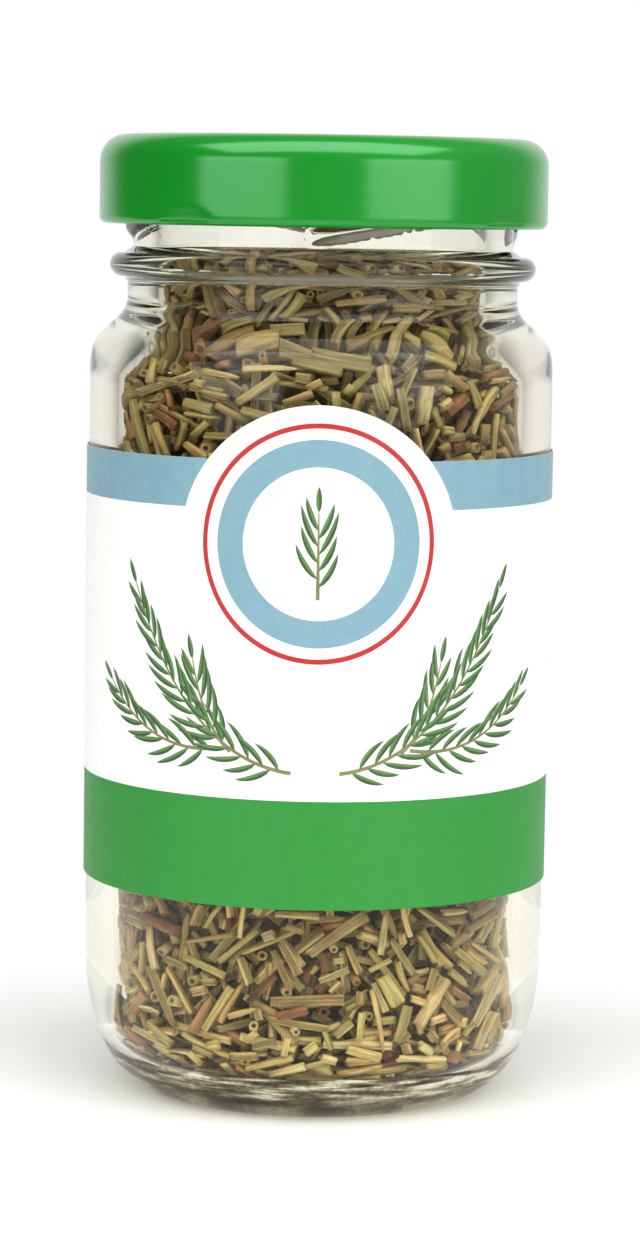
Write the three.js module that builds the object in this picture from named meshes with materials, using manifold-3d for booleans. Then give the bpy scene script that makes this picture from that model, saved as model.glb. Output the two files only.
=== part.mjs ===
// Spice jar of dried rosemary: a round glass jar with a rounded heel, a paper wrap label, a fill of cut dried
// needles, and a twist-off steel lid with its sealing ring.
// Millimetres, +Z up. The origin is the centre of the foot ring, and the label's round tab faces -Y.
import * as THREE from "three";
import { mergeVertices } from "three/addons/utils/BufferGeometryUtils.js";
import Module from "manifold-3d";

const wasm = await Module();
wasm.setup();

// Facets round the axis, the same on every turned piece so that their flats line up
const AROUND = 48;

// Glass jar
const BODY_RADIUS = 23.95;
const INNER_RADIUS = 21.0;
const FOOT_INNER_RADIUS = 12.5;
const PUNT_RISE = 1.4;
const PUNT_SHARES = [0, 0.4, 0.75];
const FLOOR_Z = 3.1;
const OUTER_HEEL = { across: 8.2, up: 15.2, power: 2.2 };
const INNER_HEEL = { across: 5.0, up: 6.5, power: 2.4 };
const SHOULDER_LOW_Z = 75.3;
const SHOULDER_HIGH_Z = 82.6;
const SHOULDER_PULL = { low: 0.67, high: 0.55 };
const INNER_SHOULDER_DROP = 0.9;
const NECK_RADIUS = 20.15;
const NECK_INNER_RADIUS = 17.0;
const BEAD = { radius: 20.75, z: 85.75, section: 1.25, from: -118, to: 100 };
const FINISH_RADIUS = 19.6;
const FINISH_LOW_Z = 87.6;
const RIM_Z = 96.8;
const RIM_ROUND = 0.9;

// Twist-off thread: four ribs on the glass, four lugs on the lid that ride under them
const THREADS = 4;
const THREAD_RISE = 3.6; // millimetres for each radian of turn
const RIB = { halfHeight: 0.8, reach: 0.8, radius: 19.95, lowZ: 88.9, start: -2, sweep: 84, steps: 12 };
const LUG = { halfHeight: 0.5, reach: 1.25, radius: 21.35, offset: 55, sweep: 14, steps: 4 };
const LUG_CLEARANCE = 0.14;
const RIB_SIDES = 8;

// Lid and sealing ring
const LID_RADIUS = 23.1;
const LID_LOW_Z = 89.9;
const LID_TOP_Z = 99.0;
const SHEET = 0.5;
const LID_CORNER = 2.7;
const CURL_SECTION = 0.75;
const PANEL = { radius: 15.2, step: 1.3, drop: 0.7 };
const GASKET = { inner: 16.9, outer: 21.0, lowZ: 97.0, highZ: 98.2, bevel: 0.3 };

// Paper label
const LABEL = { inner: 24.05, outer: 24.25, lowZ: 22.75, highZ: 67.2, backGap: 2.4 };
const TAB = { radius: 13.6, topZ: 72.7 };

// Dried rosemary fill
const WALL_GAP = 0.35;
const CORE_DEPTH = 1.1;
const FILL_TOP_Z = 87.6;
const FILL_MOUND = 1.2;
const MOUND_SHARES = [1, 0.7, 0.35, 0];
const NEEDLES = 175;
const NEEDLE = { shortest: 5.5, longest: 11.5, width: 0.9, flatness: 0.68, sides: 3 };
const NEEDLE_DEPTH = 0.62;
const NEEDLE_TILT = 9;
const SEED = 20;

const deg = THREE.MathUtils.degToRad;
const at = (r, z) => new THREE.Vector2(r, z);

// A closed profile of (radius, height) points turned about +Z.
function turned(profile) {
  return new THREE.LatheGeometry(profile, AROUND).rotateX(Math.PI / 2);
}

// A closed geometry as a solid that can be joined and cut.
function solidOf(geometry) {
  const bare = new THREE.BufferGeometry().setAttribute("position", geometry.getAttribute("position"));
  if (geometry.index) bare.setIndex(geometry.index);
  const merged = mergeVertices(bare, 1e-4);
  const triVerts = new Uint32Array(merged.index.array);
  const vertProperties = merged.getAttribute("position").array;
  return new wasm.Manifold(new wasm.Mesh({ numProp: 3, vertProperties, triVerts }));
}

// The largest single body of a solid, with sealed hollows filled and loose scraps dropped.
function mainBody(solid) {
  return solid.decompose().reduce((best, body) => (body.volume() > best.volume() ? body : best));
}

function geometryOf(solid) {
  const mesh = solid.getMesh();
  const geometry = new THREE.BufferGeometry();
  geometry.setAttribute("position", new THREE.BufferAttribute(mesh.vertProperties, 3));
  geometry.setIndex(new THREE.BufferAttribute(mesh.triVerts, 1));
  geometry.computeVertexNormals();
  return geometry;
}

// Quarter of a superellipse from the foot up to the wall, as on a pressed heel.
function heel(wallRadius, floorZ, { across, up, power }, steps) {
  return Array.from({ length: steps + 1 }, (_, i) => {
    const turn = (Math.PI / 2) * (1 - i / steps);
    const out = across * Math.cos(turn) ** (2 / power);
    const rise = up * (1 - Math.sin(turn) ** (2 / power));
    return at(wallRadius - across + out, floorZ + rise);
  });
}

// S-shaped shoulder between two vertical walls, listed from low to high.
function shoulder(lowRadius, lowZ, highRadius, highZ, steps) {
  const height = highZ - lowZ;
  const curve = new THREE.CubicBezierCurve(
    at(lowRadius, lowZ),
    at(lowRadius, lowZ + SHOULDER_PULL.low * height),
    at(highRadius, lowZ + SHOULDER_PULL.high * height),
    at(highRadius, highZ),
  );
  return curve.getPoints(steps);
}

function arc(radius, z, section, fromDegrees, toDegrees, steps) {
  return Array.from({ length: steps + 1 }, (_, i) => {
    const turn = deg(fromDegrees + ((toDegrees - fromDegrees) * i) / steps);
    return at(radius + section * Math.cos(turn), z + section * Math.sin(turn));
  });
}

// A rib of oval section that climbs a helix. Angles are degrees round +Z from the front, -Y.
// It is drawn from 45 degrees, where the section's two axes stand upright and radial, then turned into place.
function helicalRib({ halfHeight, reach, radius, sweep, steps }, lowZ, startDegrees) {
  const drawnFrom = Math.PI / 4;
  const front = -Math.PI / 2;
  const points = Array.from({ length: steps + 1 }, (_, i) => {
    const climbed = deg(sweep * (i / steps));
    const angle = climbed + drawnFrom;
    return new THREE.Vector3(radius * Math.cos(angle), radius * Math.sin(angle), lowZ + THREAD_RISE * climbed);
  });
  const oval = Array.from({ length: RIB_SIDES }, (_, i) => {
    const turn = (2 * Math.PI * (i + 0.5)) / RIB_SIDES;
    return new THREE.Vector2(halfHeight * Math.cos(turn), reach * Math.sin(turn));
  });
  const path = new THREE.CatmullRomCurve3(points);
  const rib = new THREE.ExtrudeGeometry(new THREE.Shape(oval), { steps, extrudePath: path });
  return solidOf(rib.rotateZ(deg(startDegrees) + front - drawnFrom));
}

function glassJar() {
  const punt = PUNT_SHARES.map((share) => at(share * FOOT_INNER_RADIUS, PUNT_RISE * (1 - share ** 2)));
  const rimOuter = arc(FINISH_RADIUS - RIM_ROUND, RIM_Z - RIM_ROUND, RIM_ROUND, 0, 90, 2);
  const rimInner = arc(NECK_INNER_RADIUS + RIM_ROUND, RIM_Z - RIM_ROUND, RIM_ROUND, 90, 180, 2);
  const profile = [
    ...punt,
    at(FOOT_INNER_RADIUS, 0),
    ...heel(BODY_RADIUS, 0, OUTER_HEEL, 6),
    ...shoulder(BODY_RADIUS, SHOULDER_LOW_Z, NECK_RADIUS, SHOULDER_HIGH_Z, 6),
    ...arc(BEAD.radius, BEAD.z, BEAD.section, BEAD.from, BEAD.to, 7),
    at(FINISH_RADIUS, FINISH_LOW_Z),
    ...rimOuter,
    ...rimInner,
    ...innerWall().reverse(),
  ];
  let jar = solidOf(turned(profile));
  for (let i = 0; i < THREADS; i++) {
    const start = RIB.start + (360 / THREADS) * i;
    jar = jar.add(helicalRib(RIB, RIB.lowZ, start));
  }
  return geometryOf(mainBody(jar));
}

// The jar's inside from the floor's centre up to the neck, optionally drawn in by a clearance.
function innerWall(clearance = 0) {
  const wall = INNER_RADIUS - clearance;
  const neck = NECK_INNER_RADIUS - clearance;
  const lowZ = SHOULDER_LOW_Z - INNER_SHOULDER_DROP;
  return [
    at(0, FLOOR_Z + clearance),
    ...heel(wall, FLOOR_Z + clearance, INNER_HEEL, 4),
    ...shoulder(wall, lowZ - clearance, neck, lowZ + SHOULDER_HIGH_Z - SHOULDER_LOW_Z, 5),
  ];
}

function lid() {
  const under = LID_TOP_Z - SHEET;
  const wallInner = LID_RADIUS - SHEET;
  const step = PANEL.radius + PANEL.step;
  const curlRadius = LID_RADIUS - CURL_SECTION;
  const curlZ = LID_LOW_Z + CURL_SECTION;
  const corner = arc(LID_RADIUS - LID_CORNER, LID_TOP_Z - LID_CORNER, LID_CORNER, 0, 90, 5);
  const inside = arc(LID_RADIUS - LID_CORNER, LID_TOP_Z - LID_CORNER, LID_CORNER - SHEET, 90, 0, 5);
  const profile = [
    at(0, under - PANEL.drop),
    at(PANEL.radius, under - PANEL.drop),
    at(step, under),
    ...inside,
    at(wallInner, curlZ + 2 * CURL_SECTION),
    ...arc(curlRadius, curlZ, CURL_SECTION, 150, 360, 7),
    ...corner,
    at(step, LID_TOP_Z),
    at(PANEL.radius, LID_TOP_Z - PANEL.drop),
    at(0, LID_TOP_Z - PANEL.drop),
  ];
  let shell = solidOf(turned(profile));
  const first = LUG.offset - LUG.sweep / 2;
  const lugLowZ = RIB.lowZ + THREAD_RISE * deg(first) - RIB.halfHeight - LUG.halfHeight - LUG_CLEARANCE;
  for (let i = 0; i < THREADS; i++) {
    const start = RIB.start + first + (360 / THREADS) * i;
    shell = shell.add(helicalRib(LUG, lugLowZ, start));
  }
  return geometryOf(mainBody(shell));
}

function gasket() {
  const { inner, outer, lowZ, highZ, bevel } = GASKET;
  const profile = [
    at(inner, lowZ),
    at(outer - bevel, lowZ),
    at(outer, lowZ + bevel),
    at(outer, highZ - bevel),
    at(outer - bevel, highZ),
    at(inner, highZ),
    at(inner, lowZ),
  ];
  return turned(profile);
}

// A wrapped band with a round tab at the front and a butt gap at the back.
function label() {
  const { inner, outer, lowZ, highZ, backGap } = LABEL;
  const sleeve = [at(inner, lowZ), at(outer, lowZ), at(outer, TAB.topZ), at(inner, TAB.topZ), at(inner, lowZ)];
  const above = new THREE.BoxGeometry(4 * outer, 4 * outer, 2 * (TAB.topZ - highZ));
  above.translate(0, 0, TAB.topZ);
  const tab = new THREE.CylinderGeometry(TAB.radius, TAB.radius, 2 * outer, AROUND);
  tab.translate(0, -outer, TAB.topZ - TAB.radius);
  const gap = new THREE.BoxGeometry(backGap, outer, 2 * TAB.topZ).translate(0, outer, TAB.topZ);
  const trim = solidOf(above).subtract(solidOf(tab));
  return geometryOf(solidOf(turned(sleeve)).subtract(trim).subtract(solidOf(gap)));
}

// Seeded draw from 0 to 1, the same on every run.
function seededDraw(seed) {
  let state = seed;
  return () => {
    state = (state + 0x6d2b79f5) | 0;
    let mixed = Math.imul(state ^ (state >>> 15), 1 | state);
    mixed = (mixed + Math.imul(mixed ^ (mixed >>> 7), 61 | mixed)) ^ mixed;
    return ((mixed ^ (mixed >>> 14)) >>> 0) / 4294967296;
  };
}

// Outline of the fill, from the floor's centre up the wall to the middle of its mounded top.
function fillOutline(clearance) {
  const neck = NECK_INNER_RADIUS - clearance;
  const top = FILL_TOP_Z - clearance;
  const mound = MOUND_SHARES.map((share) => at(share * neck, top + FILL_MOUND * (1 - share ** 2)));
  return [...innerWall(clearance), ...mound];
}

// Places spread evenly over the fill's surface: a golden-angle spiral in steps of equal area.
function evenPlaces(outline, count) {
  const spans = outline.slice(1).map((end, i) => {
    const start = outline[i];
    return { start, end, area: start.distanceTo(end) * (start.x + end.x) };
  });
  const total = spans.reduce((sum, span) => sum + span.area, 0);
  const golden = Math.PI * (3 - Math.sqrt(5));
  return Array.from({ length: count }, (_, i) => {
    let left = ((i + 0.5) / count) * total;
    const span = spans.find((s) => (left -= s.area) <= 0);
    const point = span.end.clone().lerp(span.start, -left / span.area);
    const along = span.end.clone().sub(span.start).normalize();
    return { point, along, angle: i * golden };
  });
}

// One straight cut needle, three-sided and flattened, lying on the fill's surface with its ends at the wall.
function needle({ point, along, angle }, draw) {
  const length = THREE.MathUtils.lerp(NEEDLE.shortest, NEEDLE.longest, draw());
  const shape = new THREE.CylinderGeometry(NEEDLE.width, NEEDLE.width, length, NEEDLE.sides);
  shape.scale(1, 1, NEEDLE.flatness);
  shape.rotateX(deg(NEEDLE_TILT) * (2 * draw() - 1));
  const lean = Math.PI * draw();
  shape.rotateZ(lean);
  const ring = new THREE.Vector3(-Math.sin(angle), Math.cos(angle), 0);
  const radial = new THREE.Vector3(Math.cos(angle), Math.sin(angle), 0);
  const up = radial.clone().multiplyScalar(along.x).setZ(along.y);
  const outward = ring.clone().cross(up);
  const bow = (along.y * (length * Math.sin(lean)) ** 2) / (8 * INNER_RADIUS);
  const middle = radial.multiplyScalar(point.x).setZ(point.y);
  middle.addScaledVector(outward, -NEEDLE_DEPTH - bow);
  shape.applyMatrix4(new THREE.Matrix4().makeBasis(ring, up, outward).setPosition(middle));
  return solidOf(shape);
}

function driedRosemary() {
  const draw = seededDraw(SEED);
  const outline = fillOutline(WALL_GAP);
  const space = solidOf(turned(outline));
  const core = solidOf(turned(fillOutline(WALL_GAP + CORE_DEPTH)));
  const needles = evenPlaces(outline, NEEDLES).map((place) => needle(place, draw));
  const heap = wasm.Manifold.union([core, ...needles]);
  return geometryOf(mainBody(heap.intersect(space)));
}

function piece(name, geometry, material) {
  const mesh = new THREE.Mesh(geometry, new THREE.MeshStandardMaterial(material));
  mesh.name = name;
  return mesh;
}

const CLEAR_GLASS = { color: 0xe4ebe4, roughness: 0.05, metalness: 0, transparent: true, opacity: 0.35 };
const GREEN_ENAMEL = { color: 0x249932, roughness: 0.22, metalness: 0.1 };
const SEALING_COMPOUND = { color: 0xeeeae0, roughness: 0.6, metalness: 0 };
const LABEL_PAPER = { color: 0xfafaf7, roughness: 0.55, metalness: 0 };
const DRIED_LEAF = { color: 0x8f8a5e, roughness: 0.85, metalness: 0 };

const jarOfRosemary = new THREE.Group();
jarOfRosemary.name = "spice_jar_of_dried_rosemary";
jarOfRosemary.add(
  piece("glass_jar", glassJar(), CLEAR_GLASS),
  piece("dried_rosemary", driedRosemary(), DRIED_LEAF),
  piece("label", label(), LABEL_PAPER),
);
const closure = new THREE.Group();
closure.name = "twist_off_closure";
closure.add(piece("lid", lid(), GREEN_ENAMEL), piece("lid_gasket", gasket(), SEALING_COMPOUND));
jarOfRosemary.add(closure);

export default jarOfRosemary;
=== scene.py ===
"""A closed glass spice jar of dried rosemary, dressed for a plain white studio.

The glass, the fill, the paper label, the twist-off lid and its sealing ring are modelled at their real size
in the jar's own frame: metres, +Z up, the foot ring on z = 0 and the label's round tab facing -Y. Sizes in
the classes are millimetres, and angles round the jar are degrees from the front towards +X.
"""

import logging
import math
import random
from collections.abc import Callable, Sequence
from dataclasses import dataclass, field
from enum import Enum
from itertools import pairwise, product

import bpy
import numpy as np
from mathutils import Matrix, Vector

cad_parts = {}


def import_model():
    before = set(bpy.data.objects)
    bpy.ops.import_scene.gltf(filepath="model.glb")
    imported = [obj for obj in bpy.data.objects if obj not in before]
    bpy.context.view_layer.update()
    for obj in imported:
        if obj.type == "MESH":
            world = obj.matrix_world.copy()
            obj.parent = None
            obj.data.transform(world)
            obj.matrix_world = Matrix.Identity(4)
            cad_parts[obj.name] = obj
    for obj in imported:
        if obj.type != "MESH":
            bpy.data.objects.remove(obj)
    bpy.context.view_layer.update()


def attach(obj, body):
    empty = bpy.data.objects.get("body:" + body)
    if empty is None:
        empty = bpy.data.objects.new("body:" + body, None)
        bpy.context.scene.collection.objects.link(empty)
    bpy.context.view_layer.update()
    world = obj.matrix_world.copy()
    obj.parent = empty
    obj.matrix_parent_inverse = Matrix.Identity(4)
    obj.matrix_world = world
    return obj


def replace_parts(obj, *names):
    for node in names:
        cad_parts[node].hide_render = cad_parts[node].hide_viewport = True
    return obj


MM = 0.001
MERGE_M = 2e-6
Point = tuple[float, float]
Face = tuple[int, ...]
Stops = tuple[tuple[float, str], ...]
log = logging.getLogger("spice_jar")


def linear(hex_colour: str) -> tuple[float, float, float, float]:
    """Turns an sRGB hex colour into linear light.

    Args:
        hex_colour: A colour such as "#249932".

    Returns:
        Linear red, green and blue, and an alpha of one.
    """
    shares = [int(hex_colour[i : i + 2], 16) / 255 for i in (1, 3, 5)]
    light = [s / 12.92 if s <= 0.04045 else ((s + 0.055) / 1.055) ** 2.4 for s in shares]
    return (light[0], light[1], light[2], 1.0)


def add_node(
    tree: bpy.types.NodeTree, kind: str, inputs: dict | None = None, stops: Stops = (), **settings
) -> bpy.types.Node:
    """Adds one node to a tree, sets it up and links it.

    Args:
        tree: The material's or world's node tree.
        kind: The node's type name.
        inputs: A value or an output socket for each named or numbered input.
        stops: (place, hex colour) pairs, for a node with a colour ramp.
        settings: Values for the node's own properties.

    Returns:
        The new node.
    """
    node = tree.nodes.new(kind)
    for name, value in settings.items():
        setattr(node, name, value)
    for name, value in (inputs or {}).items():
        if isinstance(value, bpy.types.NodeSocket):
            tree.links.new(value, node.inputs[name])
        else:
            node.inputs[name].default_value = value
    for i, (place, colour) in enumerate(stops):
        elements = node.color_ramp.elements
        element = elements[i] if i < 2 else elements.new(place)
        element.position = place
        element.color = linear(colour)
    return node


def new_material(name: str) -> tuple[bpy.types.Material, bpy.types.NodeTree, bpy.types.NodeSocket]:
    """Makes a material that has only its coordinates.

    Args:
        name: The real material and how it was made.

    Returns:
        The material, its node tree and the piece's own coordinates.
    """
    material = bpy.data.materials.new(name)
    material.use_nodes = True
    tree = material.node_tree
    tree.nodes.clear()
    return material, tree, add_node(tree, "ShaderNodeTexCoord").outputs["Object"]


def per_mm(size_mm: float) -> float:
    """Gives the texture scale that draws features of a size in millimetres on Object coordinates."""
    return 1.0 / (size_mm * MM)


def mottled(
    tree: bpy.types.NodeTree, place: bpy.types.NodeSocket, size_mm: float, detail: float, stops: Stops
) -> tuple[bpy.types.NodeSocket, bpy.types.NodeSocket]:
    """Draws soft patches of a real size and colours them.

    Args:
        tree: The material's node tree.
        place: The coordinates to draw on.
        size_mm: The patches' size in millimetres.
        detail: How many finer layers of patches lie over them.
        stops: (place, hex colour) pairs for their colours.

    Returns:
        The patches' value and their colour.
    """
    scale = per_mm(size_mm)
    patch = add_node(tree, "ShaderNodeTexNoise", {"Vector": place, "Scale": scale, "Detail": detail})
    colour = add_node(tree, "ShaderNodeValToRGB", {0: patch.outputs[0]}, stops)
    return patch.outputs[0], colour.outputs[0]


def skinned(
    tree: bpy.types.NodeTree, height: bpy.types.NodeSocket, strength: float, relief_mm: float, sockets: dict
) -> None:
    """Gives a material its opaque skin, with a relief.

    Args:
        tree: The material's node tree.
        height: The relief's pattern.
        strength: The share of the relief that shows.
        relief_mm: The relief's height in millimetres; below zero it is sunk.
        sockets: The skin's other inputs.
    """
    relief = {"Height": height, "Strength": strength, "Distance": relief_mm * MM}
    bump = add_node(tree, "ShaderNodeBump", relief)
    skin = add_node(tree, "ShaderNodeBsdfPrincipled", {**sockets, "Normal": bump.outputs[0]})
    add_node(tree, "ShaderNodeOutputMaterial", {"Surface": skin.outputs[0]})


def deselect() -> None:
    """Clears the selection, so that the next operator acts on its own object only."""
    bpy.ops.object.select_all(action="DESELECT")


def activate(obj: bpy.types.Object) -> None:
    """Selects one object alone and makes it the active one.

    Args:
        obj: The object.
    """
    deselect()
    obj.select_set(True)
    bpy.context.view_layer.objects.active = obj


def set_mode(mode: str) -> None:
    """Switches the active object between OBJECT and EDIT mode."""
    bpy.ops.object.mode_set(mode=mode)


def started(name: str) -> bpy.types.Object:
    """Names the primitive that was just added.

    Args:
        name: The name for the object and its mesh.

    Returns:
        The object.
    """
    obj = bpy.context.object
    obj.name = name
    obj.data.name = name
    return obj


def disc(name: str, sides: int, radius: float = 1.0) -> bpy.types.Object:
    """Adds a flat filled polygon on the origin.

    Args:
        name: The new object's name.
        sides: How many sides it has.
        radius: The radius of its corners.

    Returns:
        The new object.
    """
    deselect()
    bpy.ops.mesh.primitive_circle_add(vertices=sides, radius=radius, fill_type="NGON")
    return started(name)


def linked(name: str, data: bpy.types.ID) -> bpy.types.Object:
    """Makes an object of a mesh, a lamp or a camera and puts it in the scene.

    Args:
        name: The new object's name.
        data: The mesh, lamp or camera.

    Returns:
        The new object.
    """
    obj = bpy.data.objects.new(name, data)
    bpy.context.scene.collection.objects.link(obj)
    return obj


def removed(obj: bpy.types.Object) -> list[Face]:
    """Removes an object with its mesh.

    Args:
        obj: The object.

    Returns:
        The faces that it had, as vertex numbers.
    """
    mesh = obj.data
    faces = [tuple(p.vertices) for p in mesh.polygons]
    bpy.data.objects.remove(obj)
    bpy.data.meshes.remove(mesh)
    return faces


def apply_modifier(obj: bpy.types.Object, kind: str, **settings) -> None:
    """Puts a modifier on an object and applies it.

    Args:
        obj: The object to change.
        kind: The modifier's type name.
        settings: Values for the modifier's properties.
    """
    activate(obj)
    modifier = obj.modifiers.new(kind, kind)
    for name, value in settings.items():
        setattr(modifier, name, value)
    bpy.ops.object.modifier_apply(modifier=modifier.name)


def coordinates(obj: bpy.types.Object, unit: float = MM) -> np.ndarray:
    """Reads a mesh's vertex places.

    Args:
        obj: The object.
        unit: The unit to give them in, in metres.

    Returns:
        One row for each vertex.
    """
    flat = np.empty(len(obj.data.vertices) * 3, np.float32)
    obj.data.vertices.foreach_get("co", flat)
    return flat.reshape(-1, 3).astype(float) / unit


def move_vertices(obj: bpy.types.Object, places: np.ndarray) -> None:
    """Sets a mesh's vertex places, given in millimetres."""
    obj.data.vertices.foreach_set("co", (places * MM).astype(np.float32).ravel())
    obj.data.update()


def choose_vertices(obj: bpy.types.Object, chosen: np.ndarray | None = None) -> None:
    """Selects vertices by a mask and leaves the object in edit mode.

    Args:
        obj: The object whose mesh is edited.
        chosen: True for each vertex to select, or None for all of them.
    """
    activate(obj)
    set_mode("EDIT")
    bpy.ops.mesh.select_mode(type="VERT")
    bpy.ops.mesh.select_all(action="SELECT" if chosen is None else "DESELECT")
    if chosen is not None:
        set_mode("OBJECT")
        obj.data.vertices.foreach_set("select", chosen)
        set_mode("EDIT")


def resize_vertices(obj: bpy.types.Object, chosen: np.ndarray, x: float, y: float) -> None:
    """Scales chosen vertices about the origin and leaves edit mode.

    Args:
        obj: The object whose mesh is edited.
        chosen: True for each vertex to move.
        x: The scale along X.
        y: The scale along Y.
    """
    choose_vertices(obj, chosen)
    bpy.ops.transform.resize(value=(x, y, 1.0), center_override=(0, 0, 0))
    set_mode("OBJECT")


def extrude_up(rise: float) -> None:
    """Extrudes the selected faces straight up, or down for a rise below zero."""
    bpy.ops.mesh.extrude_region_move(TRANSFORM_OT_translate={"value": (0.0, 0.0, rise)})


def merge_doubles(obj: bpy.types.Object, apart: float) -> None:
    """Merges an object's vertices that lie close together.

    Args:
        obj: The object.
        apart: The greatest distance between two that are merged, in metres.
    """
    choose_vertices(obj)
    bpy.ops.mesh.remove_doubles(threshold=apart)
    set_mode("OBJECT")


def press(obj: bpy.types.Object, height_mm: float, shares: np.ndarray) -> None:
    """Raises or dents a surface along its normals.

    Args:
        obj: The object to press.
        height_mm: How far a vertex of share one moves; below zero it is dented.
        shares: From zero to one for each vertex.
    """
    group = obj.vertex_groups.new(name="press")
    for i in np.nonzero(shares > 0)[0]:
        group.add([int(i)], float(shares[i]), "REPLACE")
    apply_modifier(obj, "DISPLACE", vertex_group="press", strength=height_mm * MM, mid_level=0.0)
    obj.vertex_groups.remove(obj.vertex_groups["press"])


def spun(name: str, outline: Sequence[Point], steps: int) -> bpy.types.Object:
    """Draws an outline as a chain of edges and spins it round the jar's axis.

    Args:
        name: The new object's name.
        outline: (radius, height) points, from axis to axis or closing on themselves.
        steps: Facets round the axis.

    Returns:
        The turned object, with its seams merged and its faces pointing out.
    """
    deselect()
    bpy.ops.mesh.primitive_plane_add(size=MM)
    obj = started(name)
    set_mode("EDIT")
    bpy.ops.mesh.merge(type="CENTER")
    radius, height = outline[0]
    bpy.ops.transform.translate(value=(radius * MM, 0.0, height * MM))
    for (r0, z0), (r1, z1) in pairwise(outline):
        move = ((r1 - r0) * MM, 0.0, (z1 - z0) * MM)
        bpy.ops.mesh.extrude_vertices_move(TRANSFORM_OT_translate={"value": move})
    bpy.ops.mesh.select_all(action="SELECT")
    bpy.ops.mesh.spin(steps=steps, angle=2 * math.pi, center=(0, 0, 0), axis=(0, 0, 1))
    bpy.ops.mesh.select_all(action="SELECT")
    bpy.ops.mesh.remove_doubles(threshold=MERGE_M)
    bpy.ops.mesh.normals_make_consistent(inside=False)
    set_mode("OBJECT")
    return obj


def smooth(obj: bpy.types.Object, sharp_degrees: float) -> None:
    """Shades an object smooth, except over edges sharper than an angle."""
    activate(obj)
    bpy.ops.object.shade_smooth_by_angle(angle=math.radians(sharp_degrees))


def round_degrees(places: np.ndarray) -> np.ndarray:
    """Gives each place's angle round the jar, in degrees from the front towards +X."""
    return np.degrees(np.arctan2(places[:, 0], -places[:, 1]))


def turned_apart(degrees: np.ndarray, centre: float) -> np.ndarray:
    """Gives the signed angle from a centre to each angle, between -180 and 180 degrees."""
    return (degrees - centre + 180.0) % 360.0 - 180.0


def arc(radius: float, height: float, section: float, first: float, last: float, steps: int) -> list[Point]:
    """Lists points on a circular arc of an outline.

    Args:
        radius: The arc's centre from the axis.
        height: The arc's centre above the foot.
        section: The arc's own radius.
        first: Its first angle in degrees, from outwards towards up.
        last: Its last angle.
        steps: How many pieces it is cut into.

    Returns:
        The arc's points in order.
    """
    turns = [math.radians(first + (last - first) * i / steps) for i in range(steps + 1)]
    return [(radius + section * math.cos(t), height + section * math.sin(t)) for t in turns]


def heel(wall: float, floor: float, across: float, up: float, power: float, steps: int) -> list[Point]:
    """Lists points of a rounded heel, a quarter of a superellipse from the foot up to the wall.

    Args:
        wall: The wall's radius.
        floor: The height of the foot or floor.
        across: How far the heel reaches in from the wall.
        up: How far it reaches up the wall.
        power: The superellipse's power.
        steps: How many pieces it is cut into.

    Returns:
        The heel's points, from foot to wall.
    """
    points = []
    for i in range(steps + 1):
        t = math.pi / 2 * (1 - i / steps)
        out = max(math.cos(t), 0.0) ** (2 / power)
        points.append((wall - across + across * out, floor + up * (1 - math.sin(t) ** (2 / power))))
    return points


def shoulder(low: Point, high: Point, steps: int) -> list[Point]:
    """Lists points of an S-shaped shoulder between two upright walls.

    Args:
        low: The lower wall's radius and upper end.
        high: The upper wall's radius and lower end.
        steps: How many pieces it is cut into.

    Returns:
        The shoulder's points, from low to high.
    """
    low_pull, high_pull = 0.67, 0.55
    rise = high[1] - low[1]
    handles = (low[1], low[1] + low_pull * rise, low[1] + high_pull * rise, high[1])
    radii = (low[0], low[0], high[0], high[0])
    points = []
    for i in range(steps + 1):
        t = i / steps
        shares = ((1 - t) ** 3, 3 * t * (1 - t) ** 2, 3 * t * t * (1 - t), t**3)
        radius, height = (sum(s * v for s, v in zip(shares, values)) for values in (radii, handles))
        points.append((radius, height))
    return points


def wrapped(places: np.ndarray, radius: float) -> np.ndarray:
    """Bends flat places round the jar.

    Args:
        places: Rows of (distance round from the front, lift off the surface, height).
        radius: The radius they are wrapped at.

    Returns:
        The wrapped places, in millimetres.
    """
    turn = places[:, 0] / radius
    out = radius + places[:, 1]
    return np.column_stack((out * np.sin(turn), -out * np.cos(turn), places[:, 2]))


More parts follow.
